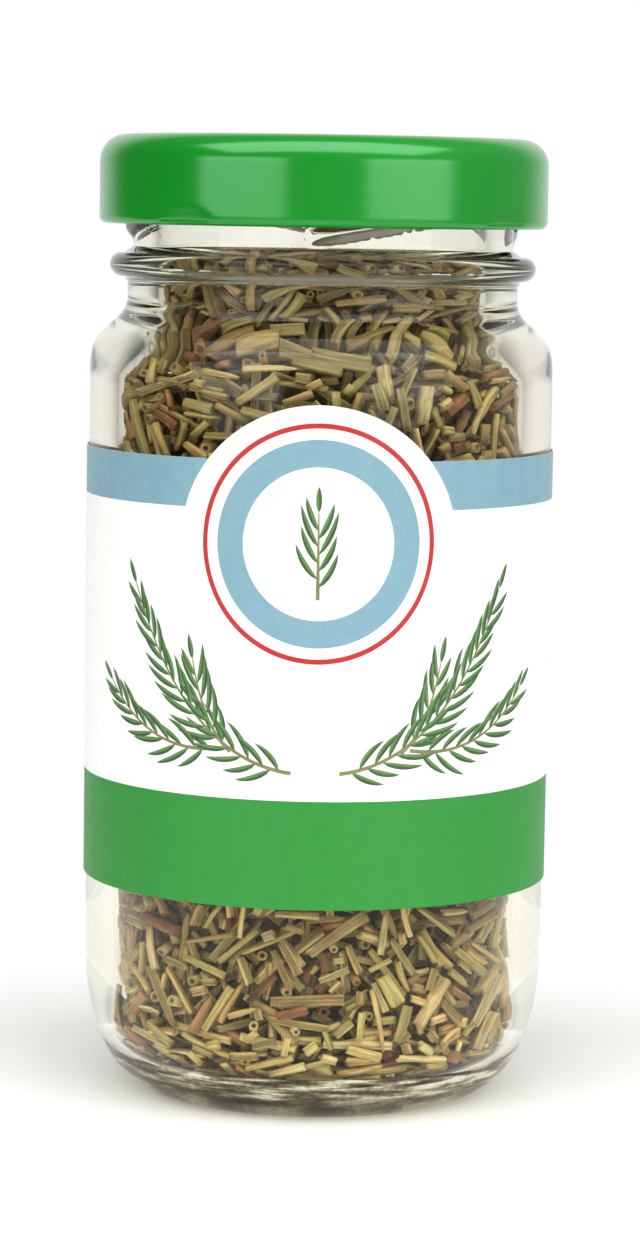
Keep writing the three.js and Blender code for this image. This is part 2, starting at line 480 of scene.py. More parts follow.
@dataclass(frozen=True)
class FlintGlass:
    """Blown flint glass: clear and almost colourless, with slow waves left in its surface by the mould."""

    name: str = "flint_glass_blown"
    tint: str = "#fdfdfb"
    body_tint: str = "#e9e7d2"
    body_depth: float = 100.0
    ior: float = 1.52
    wave_mm: float = 11.0
    wave_height_mm: float = 0.02
    glare: str = "#969696"

    def make(self) -> bpy.types.Material:
        """Makes the glass.

        Lamps and scattered light pass straight through it, so that what it holds is evenly lit.

        Returns:
            The finished material.
        """
        material, tree, place = new_material(self.name)
        scale = per_mm(self.wave_mm)
        wave = add_node(tree, "ShaderNodeTexNoise", {"Vector": place, "Scale": scale, "Detail": 1.0})
        relief = {"Height": wave.outputs[0], "Strength": 1.0, "Distance": self.wave_height_mm * MM}
        bump = add_node(tree, "ShaderNodeBump", relief)
        sockets = {
            "Base Color": linear(self.tint),
            "Roughness": 0.0,
            "IOR": self.ior,
            "Transmission Weight": 1.0,
            "Specular Tint": linear(self.glare),
            "Normal": bump.outputs[0],
        }
        glass = add_node(tree, "ShaderNodeBsdfPrincipled", sockets)
        clear = add_node(tree, "ShaderNodeBsdfTransparent")
        path = add_node(tree, "ShaderNodeLightPath")
        rays = {0: path.outputs["Is Shadow Ray"], 1: path.outputs["Is Diffuse Ray"]}
        either = add_node(tree, "ShaderNodeMath", rays, operation="MAXIMUM")
        ways = {0: either.outputs[0], 1: glass.outputs[0], 2: clear.outputs[0]}
        mixed = add_node(tree, "ShaderNodeMixShader", ways)
        depth = {"Color": linear(self.body_tint), "Density": self.body_depth}
        body = add_node(tree, "ShaderNodeVolumeAbsorption", depth)
        add_node(tree, "ShaderNodeOutputMaterial", {"Surface": mixed.outputs[0], "Volume": body.outputs[0]})
        return material


@dataclass(frozen=True)
class Enamel:
    """Stoved enamel on pressed tinplate: even, glossy colour with a faint orange-peel skin."""

    name: str
    colour: str
    shade: str
    roughness: float
    sheen: str = "#ffffff"
    sheen_level: float = 0.5
    ior: float = 1.5
    peel_mm: float = 0.9
    peel_height_mm: float = 0.0012
    cloud_mm: float = 14.0

    def make(self) -> bpy.types.Material:
        """Makes the enamel, with a slight change of film thickness in its colour.

        Returns:
            The finished material.
        """
        material, tree, place = new_material(self.name)
        _, film = mottled(tree, place, self.cloud_mm, 3.0, ((0.3, self.shade), (0.7, self.colour)))
        scale = per_mm(self.peel_mm)
        peel = add_node(tree, "ShaderNodeTexNoise", {"Vector": place, "Scale": scale, "Detail": 2.0})
        sockets = {
            "Base Color": film,
            "Roughness": self.roughness,
            "IOR": self.ior,
            "Specular IOR Level": self.sheen_level,
            "Specular Tint": linear(self.sheen),
        }
        skinned(tree, peel.outputs[0], 1.0, self.peel_height_mm, sockets)
        return material


@dataclass(frozen=True)
class PrintedPaper:
    """Coated label paper, printed: flat colour, a fine mottle, and a satin skin over the paper's fibres."""

    name: str
    colour: str
    mottle: str
    roughness: float = 0.5
    ior: float = 1.45
    fibre_mm: float = 0.35
    fibre_height_mm: float = 0.006
    fibre_strength: float = 0.6
    mottle_mm: float = 1.6

    def make(self) -> bpy.types.Material:
        """Makes the paper. Its fibres are drawn some five times coarser than real ones, so that they show.

        Returns:
            The finished material.
        """
        material, tree, place = new_material(self.name)
        _, ink = mottled(tree, place, self.mottle_mm, 5.0, ((0.35, self.mottle), (0.6, self.colour)))
        scale = per_mm(self.fibre_mm)
        fibre = add_node(tree, "ShaderNodeTexNoise", {"Vector": place, "Scale": scale, "Detail": 3.0})
        sockets = {"Base Color": ink, "Roughness": self.roughness, "IOR": self.ior}
        skinned(tree, fibre.outputs[0], self.fibre_strength, self.fibre_height_mm, sockets)
        return material


@dataclass(frozen=True)
class SealingCompound:
    """Flowed-in plastisol: a soft, off-white rubbery ring with a dull skin and a few fine pits."""

    name: str = "plastisol_flowed_in"
    colour: str = "#efe9da"
    pit: str = "#d9d0bb"
    pit_mm: float = 0.8
    pit_depth_mm: float = 0.02
    pit_strength: float = 0.5
    roughness: float = 0.6
    ior: float = 1.5

    def make(self) -> bpy.types.Material:
        """Makes the compound.

        Returns:
            The finished material.
        """
        material, tree, place = new_material(self.name)
        pits, tone = mottled(tree, place, self.pit_mm, 2.0, ((0.3, self.pit), (0.5, self.colour)))
        sockets = {"Base Color": tone, "Roughness": self.roughness, "IOR": self.ior}
        skinned(tree, pits, self.pit_strength, self.pit_depth_mm, sockets)
        return material


@dataclass(frozen=True)
class DriedLeaf:
    """Air-dried rosemary: dull sage, olive and straw leaves, each with its own tone and fine streaks."""

    name: str = "rosemary_leaf_air_dried"
    tones: Stops = (
        (0.0, "#4a3018"),
        (0.1, "#965f38"),
        (0.2, "#ad8050"),
        (0.28, "#948a53"),
        (0.35, "#ab8b53"),
        (0.42, "#aca05c"),
        (0.5, "#c09e60"),
        (0.58, "#bbae6a"),
        (0.66, "#cdaa6c"),
        (0.74, "#c6b878"),
        (0.82, "#d2b177"),
        (0.9, "#d0bd80"),
        (1.0, "#d9bd8b"),
    )
    patch_mm: float = 2.2
    patch_shift: float = 0.06
    streak_mm: float = 0.16
    streak_values: Point = (0.6, 1.22)
    streak_relief_mm: float = 0.06
    streak_strength: float = 0.8
    # painted shade: the share of the colour left in the deepest groove
    groove_shade_value: float = 0.42
    roughness: float = 0.62
    ior: float = 1.45

    def make(self) -> bpy.types.Material:
        """Makes the leaf from each scrap's own tone and its dusty patches, darkened by painted shade in its
        grooves and by each scrap's painted shade.

        Returns:
            The finished material.
        """
        material, tree, place = new_material(self.name)
        tone, groove, shade = (
            add_node(tree, "ShaderNodeAttribute", attribute_name=name).outputs["Fac"]
            for name in ("tone", "groove", "shade")
        )
        grain = add_node(tree, "ShaderNodeAttribute", attribute_name="grain").outputs["Vector"]
        scale = per_mm(self.patch_mm)
        patch = add_node(tree, "ShaderNodeTexNoise", {"Vector": place, "Scale": scale, "Detail": 4.0})
        middle = {"Value": patch.outputs[0], "From Min": 0.25, "From Max": 0.75}
        limits = {"To Min": -self.patch_shift, "To Max": self.patch_shift}
        shift = add_node(tree, "ShaderNodeMapRange", {**middle, **limits})
        terms = {0: tone, 1: shift.outputs[0]}
        shifted = add_node(tree, "ShaderNodeMath", terms, operation="ADD", use_clamp=True)
        leaf = add_node(tree, "ShaderNodeValToRGB", {0: shifted.outputs[0]}, self.tones)
        scale = 1.0 / self.streak_mm
        streak = add_node(tree, "ShaderNodeTexNoise", {"Vector": grain, "Scale": scale, "Detail": 2.0})
        middle = {"Value": streak.outputs[0], "From Min": 0.3, "From Max": 0.7}
        limits = {"To Min": self.streak_values[0], "To Max": self.streak_values[1]}
        value = add_node(tree, "ShaderNodeMapRange", {**middle, **limits})
        # painted shade: the grooves and each scrap's shade darken the leaf's colour
        limits = {"To Min": 1.0, "To Max": self.groove_shade_value}
        dim = add_node(tree, "ShaderNodeMapRange", {"Value": groove, **limits})
        terms = {0: dim.outputs[0], 1: shade}
        dimmed = add_node(tree, "ShaderNodeMath", terms, operation="MULTIPLY")
        terms = {0: value.outputs[0], 1: dimmed.outputs[0]}
        both = add_node(tree, "ShaderNodeMath", terms, operation="MULTIPLY")
        terms = {0: leaf.outputs[0], "Scale": both.outputs[0]}
        coloured = add_node(tree, "ShaderNodeVectorMath", terms, operation="SCALE")
        sockets = {"Base Color": coloured.outputs[0], "Roughness": self.roughness, "IOR": self.ior}
        skinned(tree, streak.outputs[0], self.streak_strength, self.streak_relief_mm, sockets)
        return material


@dataclass(frozen=True)
class PackedLeaf:
    """The inside of the heap: leaf packed on leaf, dark where the light does not reach."""

    name: str = "rosemary_leaf_packed"
    dark: str = "#46371d"
    light: str = "#7a6940"
    leaf_mm: float = 1.6
    relief_mm: float = 0.5
    roughness: float = 0.85
    ior: float = 1.4

    def make(self) -> bpy.types.Material:
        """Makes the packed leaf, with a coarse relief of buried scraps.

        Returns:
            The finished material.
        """
        material, tree, place = new_material(self.name)
        size = {"Vector": place, "Scale": per_mm(self.leaf_mm)}
        scraps = add_node(tree, "ShaderNodeTexVoronoi", size, feature="F1").outputs["Distance"]
        stops = ((0.1, self.light), (0.75, self.dark))
        tone = add_node(tree, "ShaderNodeValToRGB", {0: scraps}, stops)
        sockets = {"Base Color": tone.outputs[0], "Roughness": self.roughness, "IOR": self.ior}
        skinned(tree, scraps, 1.0, -self.relief_mm, sockets)
        return material


@dataclass(frozen=True)
class LeafDustAndFloorReflection:
    """Fine leaf dust sifted to the floor in level drifts, which the thick glass base draws into streaks; the
    dark tones are the dust, the pale ones a painted reflection of the white floor.
    """

    name: str = "rosemary_leaf_dust_and_painted_floor_reflection"
    # painted reflection: the palest tones stand for the white floor seen through bare glass, the darker ones
    # are the dust
    tones: Stops = (
        (0.34, "#221f13"),
        (0.43, "#4f4931"),
        (0.5, "#7d785e"),
        (0.56, "#b0ab93"),
        (0.64, "#f3f0e4"),
    )
    drift_mm: float = 6.0
    layer_mm: float = 0.5
    grit_mm: float = 0.5
    grit_share: float = 0.16
    relief_mm: float = 0.08
    roughness: float = 0.85
    ior: float = 1.4

    def make(self) -> bpy.types.Material:
        """Makes the dust from long level drifts with fine grit on them, pale where painted floor reflection
        stands in for bare glass.

        Returns:
            The finished material.
        """
        material, tree, place = new_material(self.name)
        sizes = tuple(per_mm(size) for size in (self.drift_mm, self.drift_mm, self.layer_mm))
        level = add_node(tree, "ShaderNodeMapping", {"Vector": place, "Scale": sizes}).outputs[0]
        drift = add_node(tree, "ShaderNodeTexNoise", {"Vector": level, "Scale": 1.0, "Detail": 2.0})
        scale = per_mm(self.grit_mm)
        grit = add_node(tree, "ShaderNodeTexNoise", {"Vector": place, "Scale": scale, "Detail": 1.0})
        terms = {0: grit.outputs[0], 1: self.grit_share, 2: drift.outputs[0]}
        strewn = add_node(tree, "ShaderNodeMath", terms, operation="MULTIPLY_ADD")
        least = 0.5 * self.grit_share
        limits = {"Value": strewn.outputs[0], "From Min": least, "From Max": 1.0 + least}
        tone = add_node(tree, "ShaderNodeMapRange", limits)
        colour = add_node(tree, "ShaderNodeValToRGB", {0: tone.outputs[0]}, self.tones)
        sockets = {"Base Color": colour.outputs[0], "Roughness": self.roughness, "IOR": self.ior}
        skinned(tree, grit.outputs[0], 1.0, self.relief_mm, sockets)
        return material


@dataclass
class GlassJar:
    """The glass: a round jar with a rounded heel, a punt, a shoulder, a bead and a threaded finish."""

    wall: float = 23.95
    foot_inner: float = 12.5
    punt_rise: float = 1.4
    heel_across: float = 8.2
    heel_up: float = 15.2
    heel_power: float = 2.2
    shoulder_low: float = 75.3
    shoulder_high: float = 82.6
    neck: float = 20.15
    bead_radius: float = 20.75
    bead_z: float = 85.75
    bead_section: float = 1.25
    bead_fillet: float = 0.8
    finish: float = 19.6
    finish_low: float = 87.6
    rim_z: float = 96.8
    rim_round: float = 0.9
    inner_wall: float = 21.0
    inner_neck: float = 17.0
    floor_z: float = 3.1
    inner_across: float = 5.0
    inner_up: float = 6.5
    inner_power: float = 2.4
    inner_drop: float = 1.5
    threads: int = 4
    thread_first: float = -2.0
    thread_sweep: float = 84.0
    thread_low: float = 88.9
    thread_rise: float = 3.6
    thread_height: float = 1.0
    thread_half_width: float = 0.8
    thread_taper: float = 14.0
    thread_end: float = 0.12
    row_mm: float = 0.2
    curve_steps: int = 22
    round_steps: int = 6
    bead_steps: int = 18
    inner_steps: int = 18
    steps: int = 256
    glass: FlintGlass = field(default_factory=FlintGlass)

    def inside(self, clearance: float, steps: int) -> list[Point]:
        """Lists the inside's outline.

        Args:
            clearance: How far it is drawn in from the glass.
            steps: How many pieces each curve is cut into.

        Returns:
            Points from the floor's middle up to the neck.
        """
        wall, neck = self.inner_wall - clearance, self.inner_neck - clearance
        floor = self.floor_z + clearance
        drop = self.inner_drop
        low, high = (wall, self.shoulder_low - drop - clearance), (neck, self.shoulder_high - drop)
        return [
            (0.0, floor),
            *heel(wall, floor, self.inner_across, self.inner_up, self.inner_power, steps),
            *shoulder(low, high, steps),
        ]

    def outline(self) -> list[Point]:
        """Lists the glass's outline.

        Returns:
            Points from the middle of the punt over the rim to the floor's middle.
        """
        shares = [i / 8 for i in range(8)]
        punt = [(s * self.foot_inner, self.punt_rise * (1 - s * s)) for s in shares]
        rows = np.arange(self.finish_low, self.rim_z - self.rim_round, self.row_mm)
        low, high = (self.wall, self.shoulder_low), (self.neck, self.shoulder_high)
        crown = self.rim_z - self.rim_round
        hollow = self.neck + self.bead_fillet
        drop = math.sqrt((self.bead_section + self.bead_fillet) ** 2 - (hollow - self.bead_radius) ** 2)
        touch = math.degrees(math.atan2(drop, self.bead_radius - hollow))
        return [
            *punt,
            (self.foot_inner, 0.0),
            *heel(self.wall, 0.0, self.heel_across, self.heel_up, self.heel_power, self.curve_steps),
            *shoulder(low, high, self.curve_steps),
            *arc(hollow, self.bead_z - drop, self.bead_fillet, 180, touch, self.round_steps),
            *arc(self.bead_radius, self.bead_z, self.bead_section, touch - 180, 100, self.bead_steps)[1:],
            *[(self.finish, float(z)) for z in rows],
            *arc(self.finish - self.rim_round, crown, self.rim_round, 0, 90, self.round_steps),
            *arc(self.inner_neck + self.rim_round, crown, self.rim_round, 90, 180, self.round_steps),
            *reversed(self.inside(0.0, self.inner_steps)),
        ]

    def thread_shares(self, places: np.ndarray) -> np.ndarray:
        """Works out how far each vertex of the finish is raised by a thread rib.

        Args:
            places: The glass's vertices in millimetres.

        Returns:
            From zero off the ribs to one on their crests.
        """
        radius = np.hypot(places[:, 0], places[:, 1])
        on_finish = (np.abs(radius - self.finish) < 0.02) & (places[:, 2] > self.finish_low - 0.1)
        shares = np.zeros(len(places))
        length = math.radians(self.thread_sweep) * self.finish
        climb = math.radians(self.thread_sweep) * self.thread_rise
        for k in range(self.threads):
            first = self.thread_first + 360.0 / self.threads * k
            middle = first + self.thread_sweep / 2
            turn = turned_apart(round_degrees(places), middle) + self.thread_sweep / 2
            along = np.radians(turn) * self.finish
            up = places[:, 2] - self.thread_low
            share = np.clip((along * length + up * climb) / (length**2 + climb**2), 0.0, 1.0)
            apart = np.hypot(along - share * length, up - share * climb)
            crest = np.sqrt(np.clip(1.0 - (apart / self.thread_half_width) ** 2, 0.0, 1.0))
            to_end = np.minimum(share, 1.0 - share) * self.thread_sweep / self.thread_taper
            shares = np.maximum(shares, crest * np.clip(self.thread_end + to_end, 0.0, 1.0) * on_finish)
        return shares

    def build(self) -> bpy.types.Object:
        """Turns the glass, raises its thread ribs and dresses it.

        Returns:
            The finished jar.
        """
        jar = spun("jar_glass", self.outline(), self.steps)
        press(jar, self.thread_height, self.thread_shares(coordinates(jar)))
        smooth(jar, 50.0)
        jar.data.materials.append(self.glass.make())
        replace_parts(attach(jar, "jar"), "glass_jar")
        return jar


class Scrap(Enum):
    """The kinds of scrap in the fill."""

    CUT = "needle cut at both ends"
    TIP = "needle with its natural tip"
    FLAT = "broad needle, partly unrolled"
    CRUMB = "short crumb of needle"
    SCROLL = "short rolled needle, open down the middle"
    STEM = "woody stem"


@dataclass
class Master:
    """One scrap modelled at unit length along Z, to be copied into the heap."""

    places: np.ndarray
    faces: list[Face]
    rounded: list[bool]
    # painted shade: how far each vertex's colour is darkened in the scrap's grooves and hollows
    groove: np.ndarray


@dataclass(frozen=True)
class Cutting:
    """One scrap as chance drew it; its width and thickness are halves."""

    kind: Scrap
    length: float
    width: float
    thick: float
    tone: float


@dataclass(frozen=True)
class Laid:
    """One scrap in its place: which master it copies, its tone and painted shade, and its placing matrix."""

    kind: Scrap
    pick: float
    tone: float
    shade: float
    matrix: np.ndarray


@dataclass
class Placed:
    """Scraps that are already in the heap: rods kept in coarse cells, so that new ones can be kept clear."""

    cell: float = 9.5
    room: int = 24000
    touch: float = 0.8
    cells: dict[tuple[int, ...], list[int]] = field(default_factory=dict)
    rods: np.ndarray = field(init=False)
    count: int = 0

    def __post_init__(self) -> None:
        """Makes room for the rods: middle, direction, half length and half width in each row."""
        self.rods = np.empty((self.room, 8))

    def cell_of(self, middle: np.ndarray) -> tuple[int, ...]:
        """Gives the number of the cell that a place lies in."""
        return tuple(int(v // self.cell) for v in middle)

    def crowded(self, middle: np.ndarray, axis: np.ndarray, half: float, width: float) -> bool:
        """Tells whether a rod would run into one that is already there.

        Args:
            middle: The rod's middle.
            axis: Its direction, of unit length.
            half: Half its length.
            width: Half its width.

        Returns:
            True where it comes closer to another rod than their widths allow.
        """
        rods = self.rods[self.cells.get(self.cell_of(middle), [])]
        apart = middle - rods[:, :3]
        near = np.einsum("ij,ij->i", apart, apart) < (rods[:, 6] + half + 2.0 * width) ** 2
        rods, apart = rods[near], apart[near]
        others, halves, widths = rods[:, 3:6], rods[:, 6], rods[:, 7]
        across = others @ axis
        here = apart @ axis
        there = np.einsum("ij,ij->i", apart, others)
        s = np.clip((across * there - here) / (1.0 - across**2 + 1e-9), -half, half)
        t = np.clip(across * s + there, -halves, halves)
        s = np.clip(across * t - here, -half, half)
        gap = np.linalg.norm(apart + s[:, None] * axis - t[:, None] * others, axis=1)
        return bool(np.any(gap < self.touch * (width + widths)))

    def add(self, middle: np.ndarray, axis: np.ndarray, half: float, width: float) -> None:
        """Puts a rod into the heap, and on the lists of its own cell and the cells round it.

        Args:
            middle: The rod's middle.
            axis: Its direction, of unit length.
            half: Half its length.
            width: Half its width.
        """
        self.rods[self.count] = (*middle, *axis, half, width)
        x, y, z = self.cell_of(middle)
        for dx, dy, dz in product((-1, 0, 1), repeat=3):
            self.cells.setdefault((x + dx, y + dy, z + dz), []).append(self.count)
        self.count += 1


@dataclass
class ScrapModels:
    """Models the kinds of scrap, each at unit length, to be copied into the heap."""

    needle_sides: int = 12
    rod_sides: int = 10
    notches: tuple[float, ...] = (90.0, -60.0, -90.0, -120.0)
    # painted shade: how strongly each notch of the section is darkened
    notch_shades: tuple[float, ...] = (0.5, 1.0, 0.15, 1.0)
    back: float = 0.88
    rolled: Point = (0.34, 0.46)
    unrolled: Point = (0.62, 0.7)
    bends: tuple[float, ...] = (0.0, 0.35, -0.3, 0.6)
    tip_girths: tuple[float, ...] = (1.0, 0.97, 0.88, 0.4)
    belly: float = 1.06
    stem_girths: tuple[Point, ...] = ((0.3, 0.95), (0.55, 1.18), (0.68, 0.9), (1.0, 0.97))
    bark: float = 0.84
    scroll_wall: float = 0.52
    scroll_depth: float = 0.7

    @staticmethod
    def centred(obj: bpy.types.Object) -> np.ndarray:
        """Moves a scrap to the middle of its length and turns its faces out.

        Args:
            obj: The scrap, in edit mode.

        Returns:
            Its vertex places.
        """
        bpy.ops.mesh.select_all(action="SELECT")
        bpy.ops.transform.translate(value=(0.0, 0.0, -0.5))
        bpy.ops.mesh.normals_make_consistent(inside=False)
        set_mode("OBJECT")
        return coordinates(obj, 1.0)

    @staticmethod
    def taken(obj: bpy.types.Object, places: np.ndarray, groove: np.ndarray) -> Master:
        """Keeps a modelled scrap's mesh as a master and removes its object.

        Args:
            obj: The scrap as modelled.
            places: Its vertex places.
            groove: How much painted shade darkens each vertex in a groove or hollow, from zero to one.

        Returns:
            The master.
        """
        faces = removed(obj)
        return Master(places, faces, [len(f) <= 4 for f in faces], groove)

    def needle(self, kind: Scrap, bend: float) -> Master:
        """Models one needle with rolled edges: a grooved section extruded along its length.

        Args:
            kind: The kind of scrap.
            bend: How far its middle stands off its ends, as a share of its length.

        Returns:
            The needle at unit length and unit half-width.
        """
        spans = 2 if kind is Scrap.CRUMB else 4
        groove, rib = self.unrolled if kind is Scrap.FLAT else self.rolled
        obj = disc("needle", self.needle_sides)
        section = coordinates(obj, 1.0)
        angle = np.degrees(np.arctan2(section[:, 1], section[:, 0]))
        for notch, depth in zip(self.notches, (self.back, groove, rib, groove)):
            resize_vertices(obj, np.abs(turned_apart(angle, notch)) < 1.0, depth, depth)
        choose_vertices(obj)
        for i in range(spans):
            share = (i + 1) / spans
            extrude_up(1.0 / spans)
            girth = self.belly if 0.2 < share < 0.8 else 1.0
            if kind is Scrap.TIP:
                girth = self.tip_girths[i]
            bpy.ops.transform.resize(value=(girth, girth, 1.0), center_override=(0, 0, share))
        places = self.centred(obj)
        angle = np.degrees(np.arctan2(places[:, 1], places[:, 0]))
        # painted shade: the notches are marked to be darkened
        notch_shade = np.zeros(len(places))
        for notch, depth in zip(self.notches, self.notch_shades):
            notch_shade[np.abs(turned_apart(angle, notch)) < 8.0] = depth
        places[:, 1] += bend * (1.0 - 4.0 * places[:, 2] ** 2)
        return self.taken(obj, places, notch_shade)

    def scroll(self) -> Master:
        """Models a short rolled needle, open down its middle, as seen end-on in the fill.

        Returns:
            The scroll at unit length and unit radius.
        """
        obj = disc("scroll", self.rod_sides)
        choose_vertices(obj)
        extrude_up(1.0)
        bpy.ops.mesh.inset(thickness=self.scroll_wall)
        extrude_up(-self.scroll_depth)
        places = self.centred(obj)
        # painted shade: the inside of the scroll is marked fully dark
        inner = np.hypot(places[:, 0], places[:, 1]) < 0.7
        return self.taken(obj, places, np.where(inner, 1.0, 0.0))

    def stem(self) -> Master:
        """Models a woody stem: a ten-sided rod with ridged bark and a knot.

        Returns:
            The stem at unit length and unit radius.
        """
        obj = disc("stem", self.rod_sides)
        furrows = np.arange(self.rod_sides) % 2 == 0
        resize_vertices(obj, furrows, self.bark, self.bark)
        choose_vertices(obj)
        low = 0.0
        for share, girth in self.stem_girths:
            extrude_up(share - low)
            bpy.ops.transform.resize(value=(girth, girth, 1.0), center_override=(0, 0, share))
            low = share
        places = self.centred(obj)
        # painted shade: the bark's furrows are marked to be darkened
        groove = np.where(np.hypot(places[:, 0], places[:, 1]) < 0.9, 0.6, 0.0)
        return self.taken(obj, places, groove)

    def build(self) -> dict[Scrap, list[Master]]:
        """Models every kind of scrap, needles with a few different bends.

        Returns:
            The masters of each kind.
        """
        return {
            Scrap.CUT: [self.needle(Scrap.CUT, b) for b in self.bends],
            Scrap.TIP: [self.needle(Scrap.TIP, b) for b in self.bends[:2]],
            Scrap.FLAT: [self.needle(Scrap.FLAT, b) for b in self.bends[:2]],
            Scrap.CRUMB: [self.needle(Scrap.CRUMB, 0.0)],
            Scrap.SCROLL: [self.scroll()],
            Scrap.STEM: [self.stem()],
        }


@dataclass
class DriedRosemary:
    """The fill: cut dried needles lying every way against the glass, in layers over a packed heart."""

    jar: GlassJar
    clearance: float = 0.45
    heart_clearance: float = 4.6
    top_z: float = 86.7
    mound: float = 0.9
    seed: int = 7
    # Each layer: its depth in from the glass, its painted shade, darker the deeper it lies, and its tries per
    # square millimetre.
    layers: tuple[tuple[float, float, float], ...] = (
        (0.42, 1.0, 1.8),
        (0.95, 1.0, 1.2),
        (1.6, 0.9, 1.0),
        (2.35, 0.8, 0.7),
        (3.2, 0.66, 0.5),
        (4.1, 0.54, 0.4),
    )
    # painted light and shade by height: brighter low in the jar, darker up in the neck
    lit: tuple[Point, ...] = ((3.1, 1.27), (70.0, 0.98), (80.0, 0.82), (87.0, 0.7))
    kind_weights: tuple[int, ...] = (61, 12, 9, 11, 2, 5)
    lengths: tuple[float, float, float] = (2.0, 8.0, 3.8)
    crumb_lengths: Point = (1.0, 2.4)
    scroll_lengths: Point = (1.2, 2.0)
    half_widths: Point = (0.31, 0.52)
    scroll_half_widths: Point = (0.36, 0.56)
    stem_half_widths: Point = (0.4, 0.85)
    thick_shares: Point = (0.72, 1.0)
    unrolled_shares: Point = (1.4, 0.75)
    tones: tuple[Point, ...] = ((0.27, 0.42), (0.42, 0.62), (0.62, 0.95), (0.05, 0.25))
    tone_weights: tuple[int, ...] = (30, 40, 23, 7)
    stem_tones: tuple[Point, ...] = ((0.08, 0.2), (0.85, 1.0))
    tilt_spread: float = 0.06
    tilt_growth: float = 0.07
    scroll_tilts: Point = (1.1, 1.5)
    roll_spread: float = 0.7
    shade_spread: Point = (0.9, 1.1)
    crowding: float = 0.9
    wall_share: float = 0.8
    top_margin: float = 0.3
    grain_pull: float = 0.05
    grain_apart: float = 3.0
    hidden_layers: int = 2
    hidden_degrees: float = 168.0
    hidden_share: float = 0.5
    floor_high: float = 11.0
    label_low: float = 26.0
    label_high: float = 63.0
    neck_low: float = 77.0
    dust_top: float = 5.1
    dust_press: float = 0.03
    dust_depth: float = 0.22
    dust_uneven: float = 0.16
    dust_waves: tuple[int, ...] = (3, 5, 8, 13, 21, 34)
    dust_sides: int = 180
    heart_sides: int = 64
    leaf: DriedLeaf = field(default_factory=DriedLeaf)
    packed: PackedLeaf = field(default_factory=PackedLeaf)
    dust_and_reflection: LeafDustAndFloorReflection = field(default_factory=LeafDustAndFloorReflection)

    def outline(self, clearance: float, steps: int) -> list[Point]:
        """Lists the heap's outline from the floor's middle up the wall to the top's middle.

        Args:
            clearance: How far it is drawn in from the glass.
            steps: How many pieces each curve is cut into.

        Returns:
            The outline's points.
        """
        neck = self.jar.inner_neck - clearance
        top = self.top_z - clearance
        shares = [1.0 - i / 10 for i in range(11)]
        return [
            *self.jar.inside(clearance, steps),
            *[(s * neck, top + self.mound * (1 - s * s)) for s in shares],
        ]

    def draw_scrap(self, draw: random.Random) -> Cutting:
        """Draws one scrap's kind, size and tone.

        Args:
            draw: The seeded source of chance.

        Returns:
            The scrap.
        """
        kind = draw.choices(list(Scrap), weights=self.kind_weights)[0]
        length = draw.triangular(*self.lengths)
        width = draw.uniform(*self.half_widths)
        thick = width * draw.uniform(*self.thick_shares)
        tone = draw.choices([draw.uniform(*t) for t in self.tones], weights=self.tone_weights)[0]
        if kind is Scrap.FLAT:
            width *= self.unrolled_shares[0]
            thick *= self.unrolled_shares[1]
        elif kind is Scrap.CRUMB:
            length = draw.uniform(*self.crumb_lengths)
        elif kind is Scrap.SCROLL:
            length = draw.uniform(*self.scroll_lengths)
            width = thick = draw.uniform(*self.scroll_half_widths)
        elif kind is Scrap.STEM:
            width = thick = draw.uniform(*self.stem_half_widths)
            tone = draw.choice([draw.uniform(*t) for t in self.stem_tones])
        return Cutting(kind, length, width, thick, tone)

    def fits(self, spots: np.ndarray, thick: float, walls: np.ndarray) -> bool:
        """Tells whether a scrap stays inside the heap.

        Args:
            spots: Places along the scrap.
            thick: Half its thickness.
            walls: The heap's outline without its top.

        Returns:
            True where it passes neither the wall, the floor nor the mounded top.
        """
        reach = np.hypot(spots[:, 0], spots[:, 1]) + self.wall_share * thick
        heights = spots[:, 2]
        limit = np.interp(heights, walls[:, 1], walls[:, 0])
        domed = self.top_z + self.mound * (1.0 - (reach / self.jar.inner_neck) ** 2) - self.top_margin
        off_floor = heights.min() - thick >= walls[0, 1]
        return bool(off_floor and np.all(reach <= limit) and np.all(heights <= domed))

    @staticmethod
    def placing(
        scrap: Cutting, middle: np.ndarray, axis: np.ndarray, outward: np.ndarray, roll: float
    ) -> np.ndarray:
        """Works out the matrix that puts a unit scrap in its place.

        Args:
            scrap: The scrap as drawn.
            middle: Its middle.
            axis: Its direction.
            outward: The way out to the glass.
            roll: Its turn about its own axis.

        Returns:
            Three columns for its axes and one for its middle.
        """
        side = np.cross(outward, axis)
        side /= np.linalg.norm(side)
        face = np.cross(axis, side)
        across = math.cos(roll) * side + math.sin(roll) * face
        over = np.cross(axis, across)
        return np.column_stack((across * scrap.width, over * scrap.thick, axis * scrap.length, middle))

